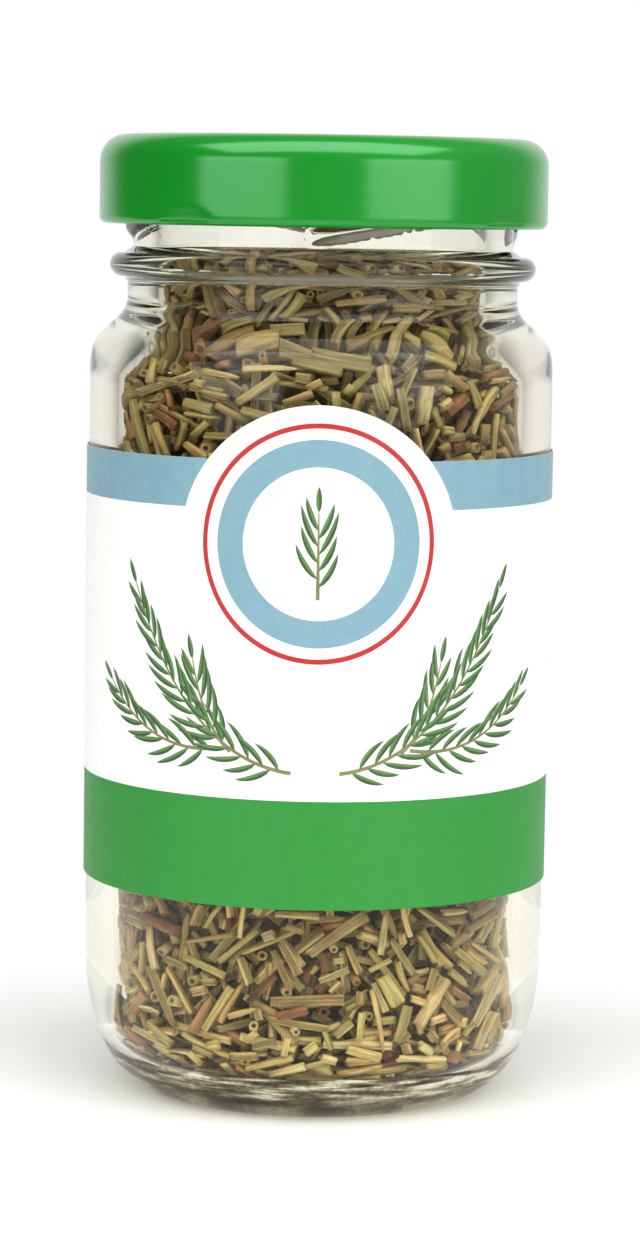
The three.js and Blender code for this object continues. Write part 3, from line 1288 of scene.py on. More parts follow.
    def heap(self) -> list[Laid]:
        """Lays the scraps one by one, outermost layer first, each clear of the ones before.

        Returns:
            The scraps in their places.
        """
        draw = random.Random(self.seed)
        outline = np.array(self.outline(self.clearance, 16))
        walls = outline[1:-10]
        spans = np.diff(outline, axis=0)
        lengths = np.hypot(spans[:, 0], spans[:, 1])
        areas = np.cumsum(lengths * (outline[1:, 0] + outline[:-1, 0]) * math.pi)
        hidden_turn = math.radians(self.hidden_degrees)
        placed, laid = Placed(), []
        tries = [
            (i, depth, shade)
            for i, (depth, shade, per_area) in enumerate(self.layers)
            for _ in range(int(areas[-1] * per_area))
        ]
        for layer, depth, shade in tries:
            i = int(np.searchsorted(areas, draw.random() * areas[-1]))
            r, z = outline[i] + draw.random() * spans[i]
            tr, tz = spans[i] / lengths[i]
            turn = draw.uniform(-math.pi, math.pi)
            hidden = self.label_low < z < self.label_high and abs(turn) < hidden_turn
            if hidden and (layer >= self.hidden_layers or draw.random() < self.hidden_share):
                continue
            scrap = self.draw_scrap(draw)
            radial = np.array((math.sin(turn), -math.cos(turn), 0.0))
            ring = np.array((math.cos(turn), math.sin(turn), 0.0))
            up = tr * radial + np.array((0.0, 0.0, tz))
            outward = tz * radial - np.array((0.0, 0.0, tr))
            lean = draw.uniform(0.0, math.pi)
            tilt = draw.gauss(0.0, self.tilt_spread + self.tilt_growth * layer)
            if scrap.kind is Scrap.SCROLL:
                tilt = draw.uniform(*self.scroll_tilts)
            flat = math.cos(lean) * up + math.sin(lean) * ring
            axis = math.cos(tilt) * flat + math.sin(tilt) * outward
            bow = abs(tz) * (scrap.length * math.sin(lean)) ** 2 / (8.0 * self.jar.inner_wall)
            half = scrap.length / 2
            sink = max(depth, scrap.thick + abs(math.sin(tilt)) * half) + bow
            middle = r * radial + np.array((0.0, 0.0, z)) - sink * outward
            spots = np.array([middle + e * axis * half for e in (-1.0, -0.5, 0.5, 1.0)])
            rod = (middle, axis, half, max(scrap.width, scrap.thick) * self.crowding)
            if not self.fits(spots, scrap.thick, walls) or placed.crowded(*rod):
                continue
            placed.add(*rod)
            roll = draw.choice((0.0, math.pi)) + draw.gauss(0.0, self.roll_spread)
            matrix = self.placing(scrap, middle, axis, outward, roll)
            pick = draw.random()
            # painted shade: the layer's shade times the painted light by height, spread at random
            level = shade * np.interp(z, *zip(*self.lit)) * draw.uniform(*self.shade_spread)
            laid.append(Laid(scrap.kind, pick, scrap.tone, level, matrix))
        return laid

    def pile(self, name: str, scraps: list[Laid], masters: dict[Scrap, list[Master]]) -> bpy.types.Object:
        """Copies the masters into one piece of the heap.

        Args:
            name: The piece's name.
            scraps: The scraps that lie in it.
            masters: The modelled scraps.

        Returns:
            The piece, with each scrap's tone, painted shade, painted groove shade and grain as attributes.
        """
        places, faces, rounded, grains, start = [], [], [], [], 0
        tones, shades, groove_shades = [], [], []
        for number, scrap in enumerate(scraps):
            choices = masters[scrap.kind]
            master = choices[int(scrap.pick * len(choices))]
            count = len(master.places)
            places.append(master.places @ scrap.matrix[:, :3].T + scrap.matrix[:, 3])
            faces += [tuple(v + start for v in f) for f in master.faces]
            rounded += master.rounded
            tones.append(np.full(count, scrap.tone))
            shades.append(np.full(count, scrap.shade))
            groove_shades.append(master.groove)
            width, length = (float(np.linalg.norm(scrap.matrix[:, c])) for c in (0, 2))
            stretch = np.array((width, width, self.grain_pull * length))
            grains.append(master.places * stretch + np.array((0.0, 0.0, self.grain_apart * number)))
            start += count
        mesh = bpy.data.meshes.new(name)
        mesh.from_pydata((np.concatenate(places) * MM).tolist(), [], faces)
        mesh.polygons.foreach_set("use_smooth", rounded)
        # painted shade: the shade and groove attributes darken the leaf's colour
        for label, values in (("tone", tones), ("shade", shades), ("groove", groove_shades)):
            layer = mesh.attributes.new(label, "FLOAT", "POINT")
            layer.data.foreach_set("value", np.concatenate(values).astype(np.float32))
        grain = mesh.attributes.new("grain", "FLOAT_VECTOR", "POINT")
        grain.data.foreach_set("vector", np.concatenate(grains).astype(np.float32).ravel())
        mesh.update()
        return linked(name, mesh)

    def sift(self) -> bpy.types.Object:
        """Lays leaf dust on the jar's floor, pressed to the glass, with an uneven edge on the heel.

        Returns:
            The bowl of dust, its pale streaks a painted reflection of the white floor.
        """
        steps = 36
        depths = (-self.dust_press, self.dust_depth)
        faces = [np.array(self.jar.inside(depth, steps)[: steps + 1]) for depth in depths]
        outer, inner = (face[face[:, 1] < self.dust_top] for face in faces)
        dust_and_reflection = spun("rosemary_dust_and_painted_reflection", [*map(tuple, outer), *map(tuple, inner[::-1])], self.dust_sides)
        places = coordinates(dust_and_reflection)
        radius, height = np.hypot(places[:, 0], places[:, 1]), places[:, 2].copy()
        turn = np.radians(round_degrees(places))
        draw = random.Random(self.seed)
        waves = [np.sin(k * turn + draw.uniform(0.0, math.tau)) for k in self.dust_waves]
        wave = sum(waves) / len(waves)
        for face in faces:
            low = float(face[0, 1])
            on_face = np.abs(radius - np.interp(height, face[:, 1], face[:, 0])) < 0.02
            chosen = on_face & (height > low + 0.2)
            share = 1.0 + self.dust_uneven * wave[chosen]
            moved = low + (height[chosen] - low) * share
            out = np.interp(moved, face[:, 1], face[:, 0]) / radius[chosen]
            places[chosen, :2] *= out[:, None]
            places[chosen, 2] = moved
        move_vertices(dust_and_reflection, places)
        smooth(dust_and_reflection, 60.0)
        # painted reflection: the dust's pale streaks stand for the white floor seen through bare glass
        dust_and_reflection.data.materials.append(self.dust_and_reflection.make())
        return dust_and_reflection

    def build(self) -> list[bpy.types.Object]:
        """Models the scraps, lays the heap in piles, turns its packed heart and sifts its dust.

        Returns:
            The piles, the heart and the dust, whose pale streaks are a painted floor reflection.
        """
        masters = ScrapModels().build()
        laid = self.heap()
        log.info("laid %d scraps", len(laid))
        leaf = self.leaf.make()
        names = (
            "rosemary_floor",
            "rosemary_lower",
            "rosemary_middle",
            "rosemary_upper",
            "rosemary_neck",
        )
        edges = (-math.inf, self.floor_high, self.label_low, self.label_high, self.neck_low, math.inf)
        pieces = []
        for name, (low, high) in zip(names, pairwise(edges)):
            scraps = [s for s in laid if low <= s.matrix[2, 3] < high]
            piece = self.pile(name, scraps, masters)
            piece.data.materials.append(leaf)
            log.info("%s: %d scraps, %d faces", name, len(scraps), len(piece.data.polygons))
            pieces.append(piece)
        heart = spun("rosemary_heart", self.outline(self.heart_clearance, 10), self.heart_sides)
        smooth(heart, 180.0)
        heart.data.materials.append(self.packed.make())
        pieces += [heart, self.sift()]
        for piece in pieces:
            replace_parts(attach(piece, "jar"), "dried_rosemary")
        return pieces


class Print(Enum):
    """The label's faces, in the order of its material slots."""

    WHITE = 0
    BLUE = 1
    GREEN = 2
    BACK = 3


@dataclass
class Label:
    """The label: one wrapped sheet of paper with a round front tab, two coloured stripes and a butt gap."""

    radius: float = 24.18
    thickness: float = 0.11
    low: float = 22.75
    green_top: float = 33.62
    blue_low: float = 62.33
    high: float = 67.2
    tab_radius: float = 13.6
    tab_z: float = 59.1
    back_gap: float = 2.4
    column_mm: float = 0.5
    rows: int = 5
    blue_row: int = 3
    papers: tuple[PrintedPaper, ...] = (
        PrintedPaper("label_paper_white", "#fbfbf9", "#f8f8f6"),
        PrintedPaper("label_paper_blue_print", "#80a8b6", "#7ba3b2"),
        PrintedPaper("label_paper_green_print", "#288d32", "#268a30"),
        PrintedPaper("label_paper_uncoated_back", "#efece4", "#e4e0d5", roughness=0.8),
    )

    def tab(self, around: float) -> float:
        """Gives the height of the round tab's edge at a distance round from the front, or zero beside it.

        Args:
            around: The distance round the jar.

        Returns:
            The height above the foot.
        """
        across = self.radius * math.sin(around / self.radius)
        if abs(around) > self.radius * math.pi / 2 or abs(across) >= self.tab_radius:
            return 0.0
        return self.tab_z + math.sqrt(self.tab_radius**2 - across**2)

    def crossing(self, height: float) -> float:
        """Gives how far round from the front the tab's circle passes a height."""
        across = math.sqrt(self.tab_radius**2 - (height - self.tab_z) ** 2)
        return self.radius * math.asin(across / self.radius)

    def columns(self) -> list[float]:
        """Lists the sheet's columns round the jar, with the tab's corners among them.

        Returns:
            Distances round from the front, from the left end of the sheet to the right.
        """
        half = math.pi * self.radius - self.back_gap / 2
        corners = (self.crossing(self.high), self.crossing(self.blue_low), half)
        marks = sorted(s * v for s in (-1, 1) for v in corners)
        columns = [marks[0]]
        for left, right in pairwise(marks):
            count = max(1, round((right - left) / self.column_mm))
            columns += [left + (right - left) * (i + 1) / count for i in range(count)]
        return columns

    def heights(self, around: float) -> tuple[float, ...]:
        """Lists the heights of the sheet's rows at one column.

        Args:
            around: The column's distance round from the front.

        Returns:
            One height for each row, from the lower edge to the upper.
        """
        edge = self.tab(around)
        blue, top = self.blue_low, self.high
        if abs(around) <= self.crossing(self.high) + 1e-6:
            blue, top = self.high, max(self.high, edge)
        elif abs(around) < self.crossing(self.blue_low) - 1e-6:
            blue = min(self.high, max(self.blue_low, edge))
        return (self.low, self.green_top, (self.green_top + blue) / 2, blue, (blue + top) / 2, top)

    def print_of(self, middle: Vector, row: int) -> Print:
        """Chooses one face's print.

        Args:
            middle: The face's middle on the flat sheet.
            row: The lowest row that it touches.

        Returns:
            The print.
        """
        if middle[2] < self.green_top:
            return Print.GREEN
        beside = abs(middle[0]) > self.crossing(self.high)
        return Print.BLUE if row >= self.blue_row and beside else Print.WHITE

    def build(self) -> bpy.types.Object:
        """Cuts the sheet from a grid, wraps it and gives it its thickness and print.

        Returns:
            The finished label.
        """
        columns = self.columns()
        last = len(columns) - 1
        deselect()
        bpy.ops.mesh.primitive_grid_add(x_subdivisions=last, y_subdivisions=self.rows, size=1.0)
        sheet = started("label_sheet")
        grid = coordinates(sheet, 1.0) + 0.5
        column = np.rint(grid[:, 0] * last).astype(int)
        row = np.rint(grid[:, 1] * self.rows).astype(int)
        flat = np.array([(columns[c], 0.0, self.heights(columns[c])[r]) for c, r in zip(column, row)])
        move_vertices(sheet, flat)
        for name in Print:
            sheet.data.materials.append(self.papers[name.value].make())
        for face in sheet.data.polygons:
            lowest = min(row[v] for v in face.vertices)
            face.material_index = self.print_of(face.center / MM, lowest).value
        move_vertices(sheet, wrapped(flat, self.radius))
        merge_doubles(sheet, MERGE_M)
        apply_modifier(
            sheet,
            "SOLIDIFY",
            thickness=self.thickness * MM,
            offset=-1.0,
            material_offset=Print.BACK.value,
            material_offset_rim=Print.BACK.value,
        )
        smooth(sheet, 40.0)
        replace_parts(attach(sheet, "jar"), "label")
        return sheet


class Ink(Enum):
    """The ornament's inks, in the order of its material slots."""

    DARK_LEAF = 0
    LIGHT_LEAF = 1
    STEM = 2
    BLUE = 3
    RED = 4


@dataclass
class Drawing:
    """Flat printed shapes, gathered as faces over (distance round, lift, height) places."""

    places: list[np.ndarray] = field(default_factory=list)
    faces: list[Face] = field(default_factory=list)
    inks: list[int] = field(default_factory=list)
    count: int = 0

    def add(self, places: np.ndarray, faces: Sequence[Face], inks: Sequence[int]) -> None:
        """Adds one shape, with each of its faces turned to look outwards.

        Args:
            places: The shape's corners.
            faces: Its faces, as corner numbers.
            inks: Each face's ink.
        """
        for face, ink in zip(faces, inks):
            x, z = places[list(face), 0], places[list(face), 2]
            turn = np.sum(x * np.roll(z, -1) - z * np.roll(x, -1))
            ordered = face if turn > 0 else tuple(reversed(face))
            self.faces.append(tuple(v + self.count for v in ordered))
            self.inks.append(ink)
        self.places.append(places)
        self.count += len(places)


@dataclass
class LabelOrnament:
    """The label's printed ornament: mirrored leafy branches, and plain rings with a sprig on the tab."""

    label: Label
    lift: float = 0.012
    leaf_lift: float = 0.005
    film: float = 0.014
    branches: tuple[tuple[Point, Point, Point], ...] = (
        ((2.4, 36.4), (13.0, 37.6), (20.5, 54.2)),
        ((9.6, 38.6), (17.5, 37.2), (24.6, 44.0)),
        ((8.6, 38.3), (11.6, 40.6), (12.9, 47.2)),
    )
    sprig: tuple[Point, Point, Point] = ((0.0, 53.6), (0.0, 58.0), (0.0, 62.2))
    leaf_length: float = 4.3
    leaf_half_width: float = 0.29
    leaf_girths: tuple[float, ...] = (0.0, 0.72, 0.98, 1.0, 0.88, 0.58, 0.0)
    leaf_first: float = 1.2
    leaf_gap: float = 1.6
    leaf_lean: float = 50.0
    lean_spread: float = 5.0
    lean_fall: float = 0.55
    leaf_curl: float = 0.35
    leaf_fullness: tuple[float, float, float] = (0.62, 1.2, 0.2)
    length_spread: Point = (0.9, 1.1)
    stem_half_width: float = 0.2
    stem_taper: float = 0.7
    stem_spans: int = 40
    rings: tuple[tuple[float, float, Ink], ...] = ((11.6, 0.5, Ink.RED), (8.9, 2.7, Ink.BLUE))
    ring_band: float = 0.45
    ring_sides: int = 144
    seed: int = 3
    inks: tuple[PrintedPaper, ...] = (
        PrintedPaper("label_ink_dark_green", "#36602f", "#2f5629"),
        PrintedPaper("label_ink_leaf_green", "#628850", "#587d44"),
        PrintedPaper("label_ink_stem_brown", "#8a8458", "#7d774c"),
        PrintedPaper("label_ink_muted_blue", "#80a8b6", "#7ba3b2"),
        PrintedPaper("label_ink_red", "#bf2a26", "#b92723"),
    )

    def model_leaf(self) -> tuple[np.ndarray, list[Face], list[int]]:
        """Models one narrow pointed leaf in two tones, at unit length and unit half-width.

        Returns:
            Its places, its faces and each face's ink.
        """
        spans = len(self.leaf_girths) - 1
        deselect()
        bpy.ops.mesh.primitive_grid_add(x_subdivisions=spans, y_subdivisions=2, size=2.0)
        obj = started("leaf")
        columns = np.rint((coordinates(obj, 1.0)[:, 0] + 1.0) * spans / 2).astype(int)
        for column, girth in enumerate(self.leaf_girths):
            resize_vertices(obj, columns == column, 1.0, girth)
        merge_doubles(obj, 1e-4)
        places = coordinates(obj, 1.0)
        places[:, 0] = (places[:, 0] + 1.0) / 2.0
        light = [p.center[1] > 0 for p in obj.data.polygons]
        return places, removed(obj), [(Ink.LIGHT_LEAF if on else Ink.DARK_LEAF).value for on in light]

    def draw_stem(self, drawing: Drawing, path: np.ndarray, ways: np.ndarray) -> None:
        """Draws a branch's stem, tapering to its tip.

        Args:
            drawing: The shapes so far.
            path: Places along the stem.
            ways: The stem's direction at each place.
        """
        count = len(path)
        across = np.column_stack((-ways[:, 1], ways[:, 0]))
        half = self.stem_half_width * (1.0 - self.stem_taper * np.linspace(0.0, 1.0, count)[:, None])
        edges = np.concatenate((path + half * across, path - half * across))
        flat = np.column_stack((edges[:, 0], np.full(len(edges), self.lift), edges[:, 1]))
        faces = [(i, i + 1, i + 1 + count, i + count) for i in range(count - 1)]
        drawing.add(flat, faces, [Ink.STEM.value] * len(faces))

    def draw_branch(
        self, drawing: Drawing, ends: tuple[Point, Point, Point], side: int, draw: random.Random
    ) -> None:
        """Draws one branch: a tapering stem with leaves on both sides and one at its tip.

        Args:
            drawing: The shapes so far.
            ends: The branch's foot, pull and tip on the right of the label.
            side: 1 to draw it there, -1 to mirror it.
            draw: The seeded source of chance.
        """
        foot, pull, tip = (np.array((side * x, z)) for x, z in ends)
        shares = np.linspace(0.0, 1.0, self.stem_spans + 1)[:, None]
        path = (1 - shares) ** 2 * foot + 2 * shares * (1 - shares) * pull + shares**2 * tip
        ways = np.gradient(path, axis=0)
        ways /= np.linalg.norm(ways, axis=1)[:, None]
        self.draw_stem(drawing, path, ways)
        run = np.concatenate(([0.0], np.cumsum(np.linalg.norm(np.diff(path, axis=0), axis=1))))
        count = int((run[-1] - self.leaf_first) / self.leaf_gap)
        leaf, faces, inks = self.model_leaf()
        swapped = [1 - ink for ink in inks]
        for k in range(2 * count + 1):
            last = k == 2 * count
            at = run[-1] if last else self.leaf_first + self.leaf_gap * (k // 2 + 0.5 * (k % 2))
            share = at / run[-1]
            spot = [np.interp(at, run, path[:, c]) for c in (0, 1)]
            along = math.atan2(*(np.interp(at, run, ways[:, c]) for c in (1, 0)))
            lean = 0.0
            if not last:
                lean = self.leaf_lean * (1.0 - self.lean_fall * share) + draw.gauss(0.0, self.lean_spread)
            lean = math.radians(lean)
            turn = along + lean * (1 if k % 2 else -1)
            least, belly, foot_share = self.leaf_fullness
            fullness = least + belly * share * (1.0 - share) + foot_share * (1 - share)
            length = self.leaf_length * fullness * draw.uniform(*self.length_spread)
            curve = turn - self.leaf_curl * leaf[:, 0] * math.copysign(lean, turn - along)
            reach, width = length * leaf[:, 0], self.leaf_half_width * leaf[:, 1]
            x = spot[0] + reach * np.cos(curve) - width * np.sin(curve)
            z = spot[1] + reach * np.sin(curve) + width * np.cos(curve)
            lift = self.lift + self.leaf_lift * (1 + k % 4)
            places = np.column_stack((x, np.full(len(x), lift), z))
            drawing.add(places, faces, inks if math.cos(turn) > 0 else swapped)

    def draw_ring(self, drawing: Drawing, radius: float, width: float, ink: Ink) -> None:
        """Draws one plain ring round the tab's middle.

        Args:
            drawing: The shapes so far.
            radius: The ring's radius.
            width: Its line width.
            ink: Its ink.
        """
        deselect()
        inside = radius - width / 2
        bpy.ops.mesh.primitive_circle_add(vertices=self.ring_sides, radius=inside, fill_type="NOTHING")
        obj = started("ring")
        choose_vertices(obj)
        bands = max(1, round(width / self.ring_band))
        edges = [radius + width * (i / bands - 0.5) for i in range(bands + 1)]
        for near, far in pairwise(edges):
            bpy.ops.mesh.extrude_region_move()
            bpy.ops.transform.resize(value=(far / near, far / near, 1.0), center_override=(0, 0, 0))
        set_mode("OBJECT")
        flat = coordinates(obj, 1.0)
        heights = flat[:, 1] + self.label.tab_z
        faces = removed(obj)
        places = np.column_stack((flat[:, 0], np.full(len(flat), self.lift), heights))
        drawing.add(places, faces, [ink.value] * len(faces))

    def print_on(self, name: str, drawing: Drawing) -> bpy.types.Object:
        """Lays a drawing on the label as a thin film of ink.

        Args:
            name: The piece's name.
            drawing: The flat shapes.

        Returns:
            The finished print.
        """
        mesh = bpy.data.meshes.new(name)
        places = wrapped(np.concatenate(drawing.places), self.label.radius)
        mesh.from_pydata((places * MM).tolist(), [], drawing.faces)
        mesh.polygons.foreach_set("material_index", drawing.inks)
        piece = linked(name, mesh)
        for ink in Ink:
            mesh.materials.append(self.inks[ink.value].make())
        apply_modifier(piece, "SOLIDIFY", thickness=self.film * MM, offset=-1.0)
        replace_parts(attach(piece, "jar"), "label")
        return piece

    def build(self) -> list[bpy.types.Object]:
        """Prints the branches and the rings.

        Returns:
            The prints.
        """
        draw = random.Random(self.seed)
        branches, rings = Drawing(), Drawing()
        for side, ends in product((1, -1), self.branches):
            self.draw_branch(branches, ends, side, draw)
        self.draw_branch(branches, self.sprig, 1, draw)
        for radius, width, ink in self.rings:
            self.draw_ring(rings, radius, width, ink)
        return [self.print_on("label_print_branches", branches), self.print_on("label_print_rings", rings)]


@dataclass
class TwistOffLid:
    """The lid: one pressed tinplate cap with a sunk panel, a rolled lower edge and four pressed-in lugs."""

    radius: float = 23.1
    low: float = 89.9
    top: float = 99.0
    sheet: float = 0.5
    corner: float = 2.7
    curl: float = 0.75
    panel: float = 15.0
    panel_step: float = 1.6
    panel_drop: float = 0.7
    lugs: int = 4
    lug_first: float = 53.0
    lug_tip: float = 20.1
    lug_steps: tuple[Point, ...] = ((7.5, 0.4), (6.5, 0.75), (5.5, 1.0))
    dimple_degrees: float = 10.5
    dimple_height: float = 2.1
    dimple_depth: float = 0.32
    dimple_power: float = 1.5
    row_mm: float = 0.3
    steps: int = 288
    outside: Enamel = Enamel("tinplate_green_enamel", "#0d8820", "#0b831d", 0.19, "#bfffd3", 1.0)
    inside: Enamel = Enamel("tinplate_white_lacquer", "#e9e7df", "#dedbd0", 0.35)

    def step_curve(self, height: float) -> list[Point]:
        """Lists the soft step between the sunk panel and the rim round it.

        Args:
            height: The rim's height.

        Returns:
            Points from the panel out to the rim.
        """
        shares = [i / 8 for i in range(9)]
        return [
            (self.panel + self.panel_step * s, height - self.panel_drop * (0.5 + 0.5 * math.cos(math.pi * s)))
            for s in shares
        ]

    def outline(self) -> list[Point]:
        """Lists the lid's outline.

        Returns:
            Points from the middle underneath round the rolled edge to the middle on top.
        """
        under, bend = self.top - self.sheet, self.radius - self.corner
        bend_z = self.top - self.corner
        curl_r, curl_z = self.radius - self.curl, self.low + self.curl
        rows = np.arange(curl_z + self.row_mm, bend_z - 0.1, self.row_mm)
        return [
            (0.0, under - self.panel_drop),
            *self.step_curve(under),
            *arc(bend, bend_z, self.corner - self.sheet, 90, 0, 10),
            (self.radius - self.sheet, curl_z + 1.6 * self.curl),
            *arc(curl_r, curl_z, self.curl, 150, 360, 16),
            *[(self.radius, float(z)) for z in rows],
            *arc(bend, bend_z, self.corner, 0, 90, 14),
            *reversed(self.step_curve(self.top)),
            (0.0, self.top - self.panel_drop),
        ]

    def lug_middles(self) -> list[float]:
        """Lists the angles of the lugs' middles round the jar."""
        return [self.lug_first + 360.0 / self.lugs * k for k in range(self.lugs)]

    def press_lugs(self, lid: bpy.types.Object) -> None:
        """Presses the lugs in from the rolled edge and leaves a dimple outside each.

        Args:
            lid: The turned lid.
        """
        inner = self.radius - 2.0 * self.curl
        for middle, (half, share) in product(self.lug_middles(), self.lug_steps):
            places = coordinates(lid)
            radius = np.hypot(places[:, 0], places[:, 1])
            apart = np.abs(turned_apart(round_degrees(places), middle))
            curled = places[:, 2] < self.low + 2.0 * self.curl
            chosen = (apart < half) & curled & (radius < self.radius - self.curl)
            reach = 1.0 - (1.0 - self.lug_tip / inner) * share
            now = radius[chosen].min() / inner
            resize_vertices(lid, chosen, reach / now, reach / now)
        places = coordinates(lid)
        outside = np.hypot(places[:, 0], places[:, 1]) > self.radius - 0.1
        wall = outside & (places[:, 2] < self.top - self.corner)
        shares = np.zeros(len(places))
        for middle in self.lug_middles():
            apart = turned_apart(round_degrees(places), middle)
            oval = (apart / self.dimple_degrees) ** 2 + ((places[:, 2] - self.low) / self.dimple_height) ** 2
            shares = np.maximum(shares, np.clip(1.0 - oval, 0.0, 1.0) ** self.dimple_power * wall)
        press(lid, -self.dimple_depth, shares)

    def build(self) -> bpy.types.Object:
        """Turns the lid, presses its lugs and dresses it, green outside and white within.

        Returns:
            The finished lid.
        """
        lid = spun("lid_cap", self.outline(), self.steps)
        self.press_lugs(lid)
        lid.data.materials.append(self.outside.make())
        lid.data.materials.append(self.inside.make())
        within = self.radius - self.sheet / 2
        for face in lid.data.polygons:
            middle = face.center / MM
            radius = math.hypot(middle[0], middle[1])
            down = face.normal[2] < -0.3 and middle[2] > self.low + 2.0 * self.curl
            between = self.low + self.curl < middle[2] < self.top - 0.9 * self.corner
            face.material_index = int(down or (radius < within and between))
        smooth(lid, 40.0)
        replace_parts(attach(lid, "lid"), "lid")
        return lid


@dataclass
class SealingRing:
    """The sealing ring: compound flowed into the lid's channel, with the rim's print in its lower face."""

    inner: float = 16.9
    outer: float = 21.0
    low: float = 97.0
    high: float = 98.2
    rim: float = 18.3
    print_depth: float = 0.08
    print_half: float = 1.2
    soft: float = 0.3
    steps: int = 128
    compound: SealingCompound = field(default_factory=SealingCompound)

    def build(self) -> bpy.types.Object:
        """Turns the ring with rounded edges and the shallow groove that the rim presses into it.

        Returns:
            The finished ring.
        """
        soft = self.soft
        shares = [i / 3 for i in range(-3, 4)]
        groove = [
            (self.rim + self.print_half * s, self.low + self.print_depth * (1.0 - s * s)) for s in shares
        ]
        outline = [
            *arc(self.inner + soft, self.low + soft, soft, 180, 270, 4),
            *groove,
            *arc(self.outer - soft, self.low + soft, soft, 270, 360, 4),
            *arc(self.outer - soft, self.high - soft, soft, 0, 90, 4),
            *arc(self.inner + soft, self.high - soft, soft, 90, 180, 4),
        ]
        ring = spun("lid_seal", [*outline, outline[0]], self.steps)
        smooth(ring, 60.0)
        ring.data.materials.append(self.compound.make())
        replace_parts(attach(ring, "seal"), "lid_gasket")
        return ring


@dataclass
class Lamp:
    """One soft panel lamp, aimed at the jar."""

    name: str
    degrees: float
    height_m: float
    away_m: float
    size_m: Point
    radiance: float


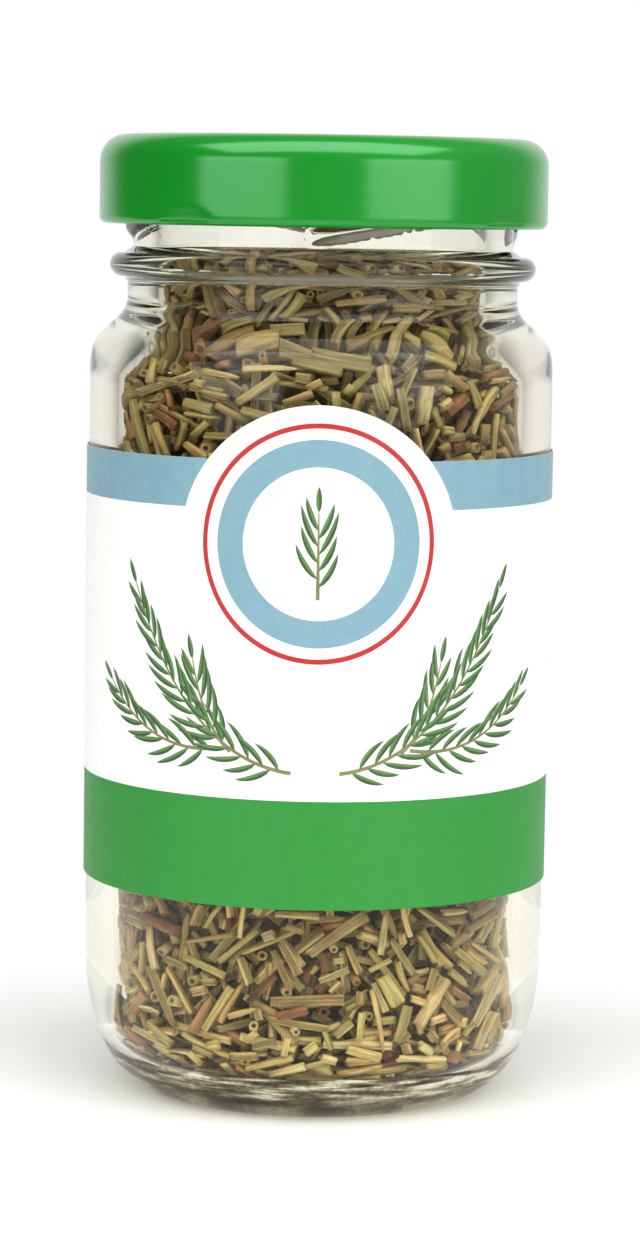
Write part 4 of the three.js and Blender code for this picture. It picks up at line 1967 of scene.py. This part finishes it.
@dataclass
class Studio:
    """The plain studio: a pale floor, a white surround, dimmer behind the camera, and soft panel lamps."""

    camera_mm: tuple[float, float, float] = (0.27, -392.9, 92.9)
    pitch_degrees: float = 6.41
    roll_degrees: float = 0.89
    lens_mm: float = 109.53
    sensor_mm: float = 36.0
    clip_m: float = 0.01
    floor_m: float = 0.3
    floor_back_m: float = 0.1
    floor_sides: int = 96
    paint: Stops = ((0.3, "#f1f1ef"), (0.7, "#f4f4f2"))
    paint_cloud_mm: float = 180.0
    paint_roughness: float = 0.9
    left_light: float = 0.1
    right_light: float = 0.42
    back_light: float = 1.0
    side_reach: float = 0.8
    back_edge: Point = (0.55, 0.85)
    aim_m: float = 0.06
    lamps: tuple[Lamp, ...] = (
        Lamp("panel_left", -42.0, 0.18, 0.85, (0.72, 0.25), 2.7),
        Lamp("panel_right", 44.0, 0.18, 0.85, (0.72, 0.25), 2.7),
        Lamp("panel_top", 0.0, 2.1, 0.9, (4.4, 2.0), 3.3),
    )

    def set_surround(self) -> None:
        """Makes the white surround, dimmer towards the front and the sides except below."""
        world = bpy.data.worlds.new("studio_surround")
        world.use_nodes = True
        tree = world.node_tree
        tree.nodes.clear()
        way = add_node(tree, "ShaderNodeTexCoord").outputs["Generated"]
        parts = add_node(tree, "ShaderNodeSeparateXYZ", {0: way})
        across = {"Value": parts.outputs["X"], "From Min": -self.side_reach, "From Max": self.side_reach}
        lights = {"To Min": self.left_light, "To Max": self.right_light}
        side = add_node(tree, "ShaderNodeMapRange", {**across, **lights})
        below = add_node(tree, "ShaderNodeMath", {0: parts.outputs["Z"], 1: 0.0}, operation="MINIMUM")
        terms = {0: parts.outputs["Y"], 1: below.outputs[0]}
        back = add_node(tree, "ShaderNodeMath", terms, operation="SUBTRACT")
        near, far = self.back_edge
        away = {"Value": back.outputs[0], "From Min": near, "From Max": far}
        lights = {"To Min": side.outputs[0], "To Max": self.back_light}
        limits = {**away, **lights}
        light = add_node(tree, "ShaderNodeMapRange", limits, interpolation_type="SMOOTHSTEP")
        path = add_node(tree, "ShaderNodeLightPath")
        terms = {0: light.outputs[0], 1: path.outputs["Is Camera Ray"]}
        seen = add_node(tree, "ShaderNodeMath", terms, operation="MAXIMUM")
        sky = add_node(tree, "ShaderNodeBackground", {"Color": (1, 1, 1, 1), "Strength": seen.outputs[0]})
        add_node(tree, "ShaderNodeOutputWorld", {"Surface": sky.outputs[0]})
        bpy.context.scene.world = world

    def lay_floor(self) -> bpy.types.Object:
        """Lays the pale floor: a round board that reaches well to the front and ends behind the jar.

        Returns:
            The floor.
        """
        floor = disc("studio_floor", self.floor_sides, self.floor_m)
        choose_vertices(floor)
        bpy.ops.transform.translate(value=(0.0, self.floor_back_m - self.floor_m, 0.0))
        set_mode("OBJECT")
        material, tree, place = new_material("painted_board_white")
        _, paint = mottled(tree, place, self.paint_cloud_mm, 2.0, self.paint)
        sockets = {"Base Color": paint, "Roughness": self.paint_roughness}
        board = add_node(tree, "ShaderNodeBsdfPrincipled", sockets)
        add_node(tree, "ShaderNodeOutputMaterial", {"Surface": board.outputs[0]})
        floor.data.materials.append(material)
        return floor

    def hang_lamps(self) -> None:
        """Hangs the panel lamps round the jar."""
        for lamp in self.lamps:
            turn = math.radians(lamp.degrees)
            place = Vector((lamp.away_m * math.sin(turn), -lamp.away_m * math.cos(turn), lamp.height_m))
            data = bpy.data.lights.new(lamp.name, "AREA")
            data.shape = "RECTANGLE"
            data.size, data.size_y = lamp.size_m
            data.energy = lamp.radiance * math.pi * lamp.size_m[0] * lamp.size_m[1]
            obj = linked(lamp.name, data)
            obj.location = place
            aim = Vector((0.0, 0.0, self.aim_m)) - place
            obj.rotation_euler = aim.to_track_quat("-Z", "Y").to_euler()

    def set_camera(self) -> None:
        """Sets the camera where the photograph was taken from."""
        data = bpy.data.cameras.new("camera")
        data.lens = self.lens_mm
        data.sensor_width = self.sensor_mm
        data.clip_start = self.clip_m
        camera = linked("camera", data)
        camera.location = Vector(self.camera_mm) * MM
        tip = Matrix.Rotation(math.radians(90.0 - self.pitch_degrees), 3, "X")
        camera.rotation_euler = (tip @ Matrix.Rotation(math.radians(self.roll_degrees), 3, "Z")).to_euler()
        bpy.context.scene.camera = camera

    def build(self) -> None:
        """Sets up the whole studio, with colours shown as they are."""
        self.set_surround()
        self.lay_floor()
        self.hang_lamps()
        self.set_camera()
        bpy.context.scene.view_settings.view_transform = "Standard"


def main() -> None:
    """Builds every piece in order and reports it."""
    logging.basicConfig(level=logging.INFO)
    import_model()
    jar = GlassJar()
    label = Label()
    steps: tuple[tuple[str, Callable[[], object]], ...] = (
        ("studio", Studio().build),
        ("glass jar", jar.build),
        ("dried rosemary", DriedRosemary(jar).build),
        ("label", label.build),
        ("label ornament", LabelOrnament(label).build),
        ("lid", TwistOffLid().build),
        ("sealing ring", SealingRing().build),
    )
    for name, build in steps:
        build()
        log.info("built the %s", name)


if __name__ == "__main__":
    main()
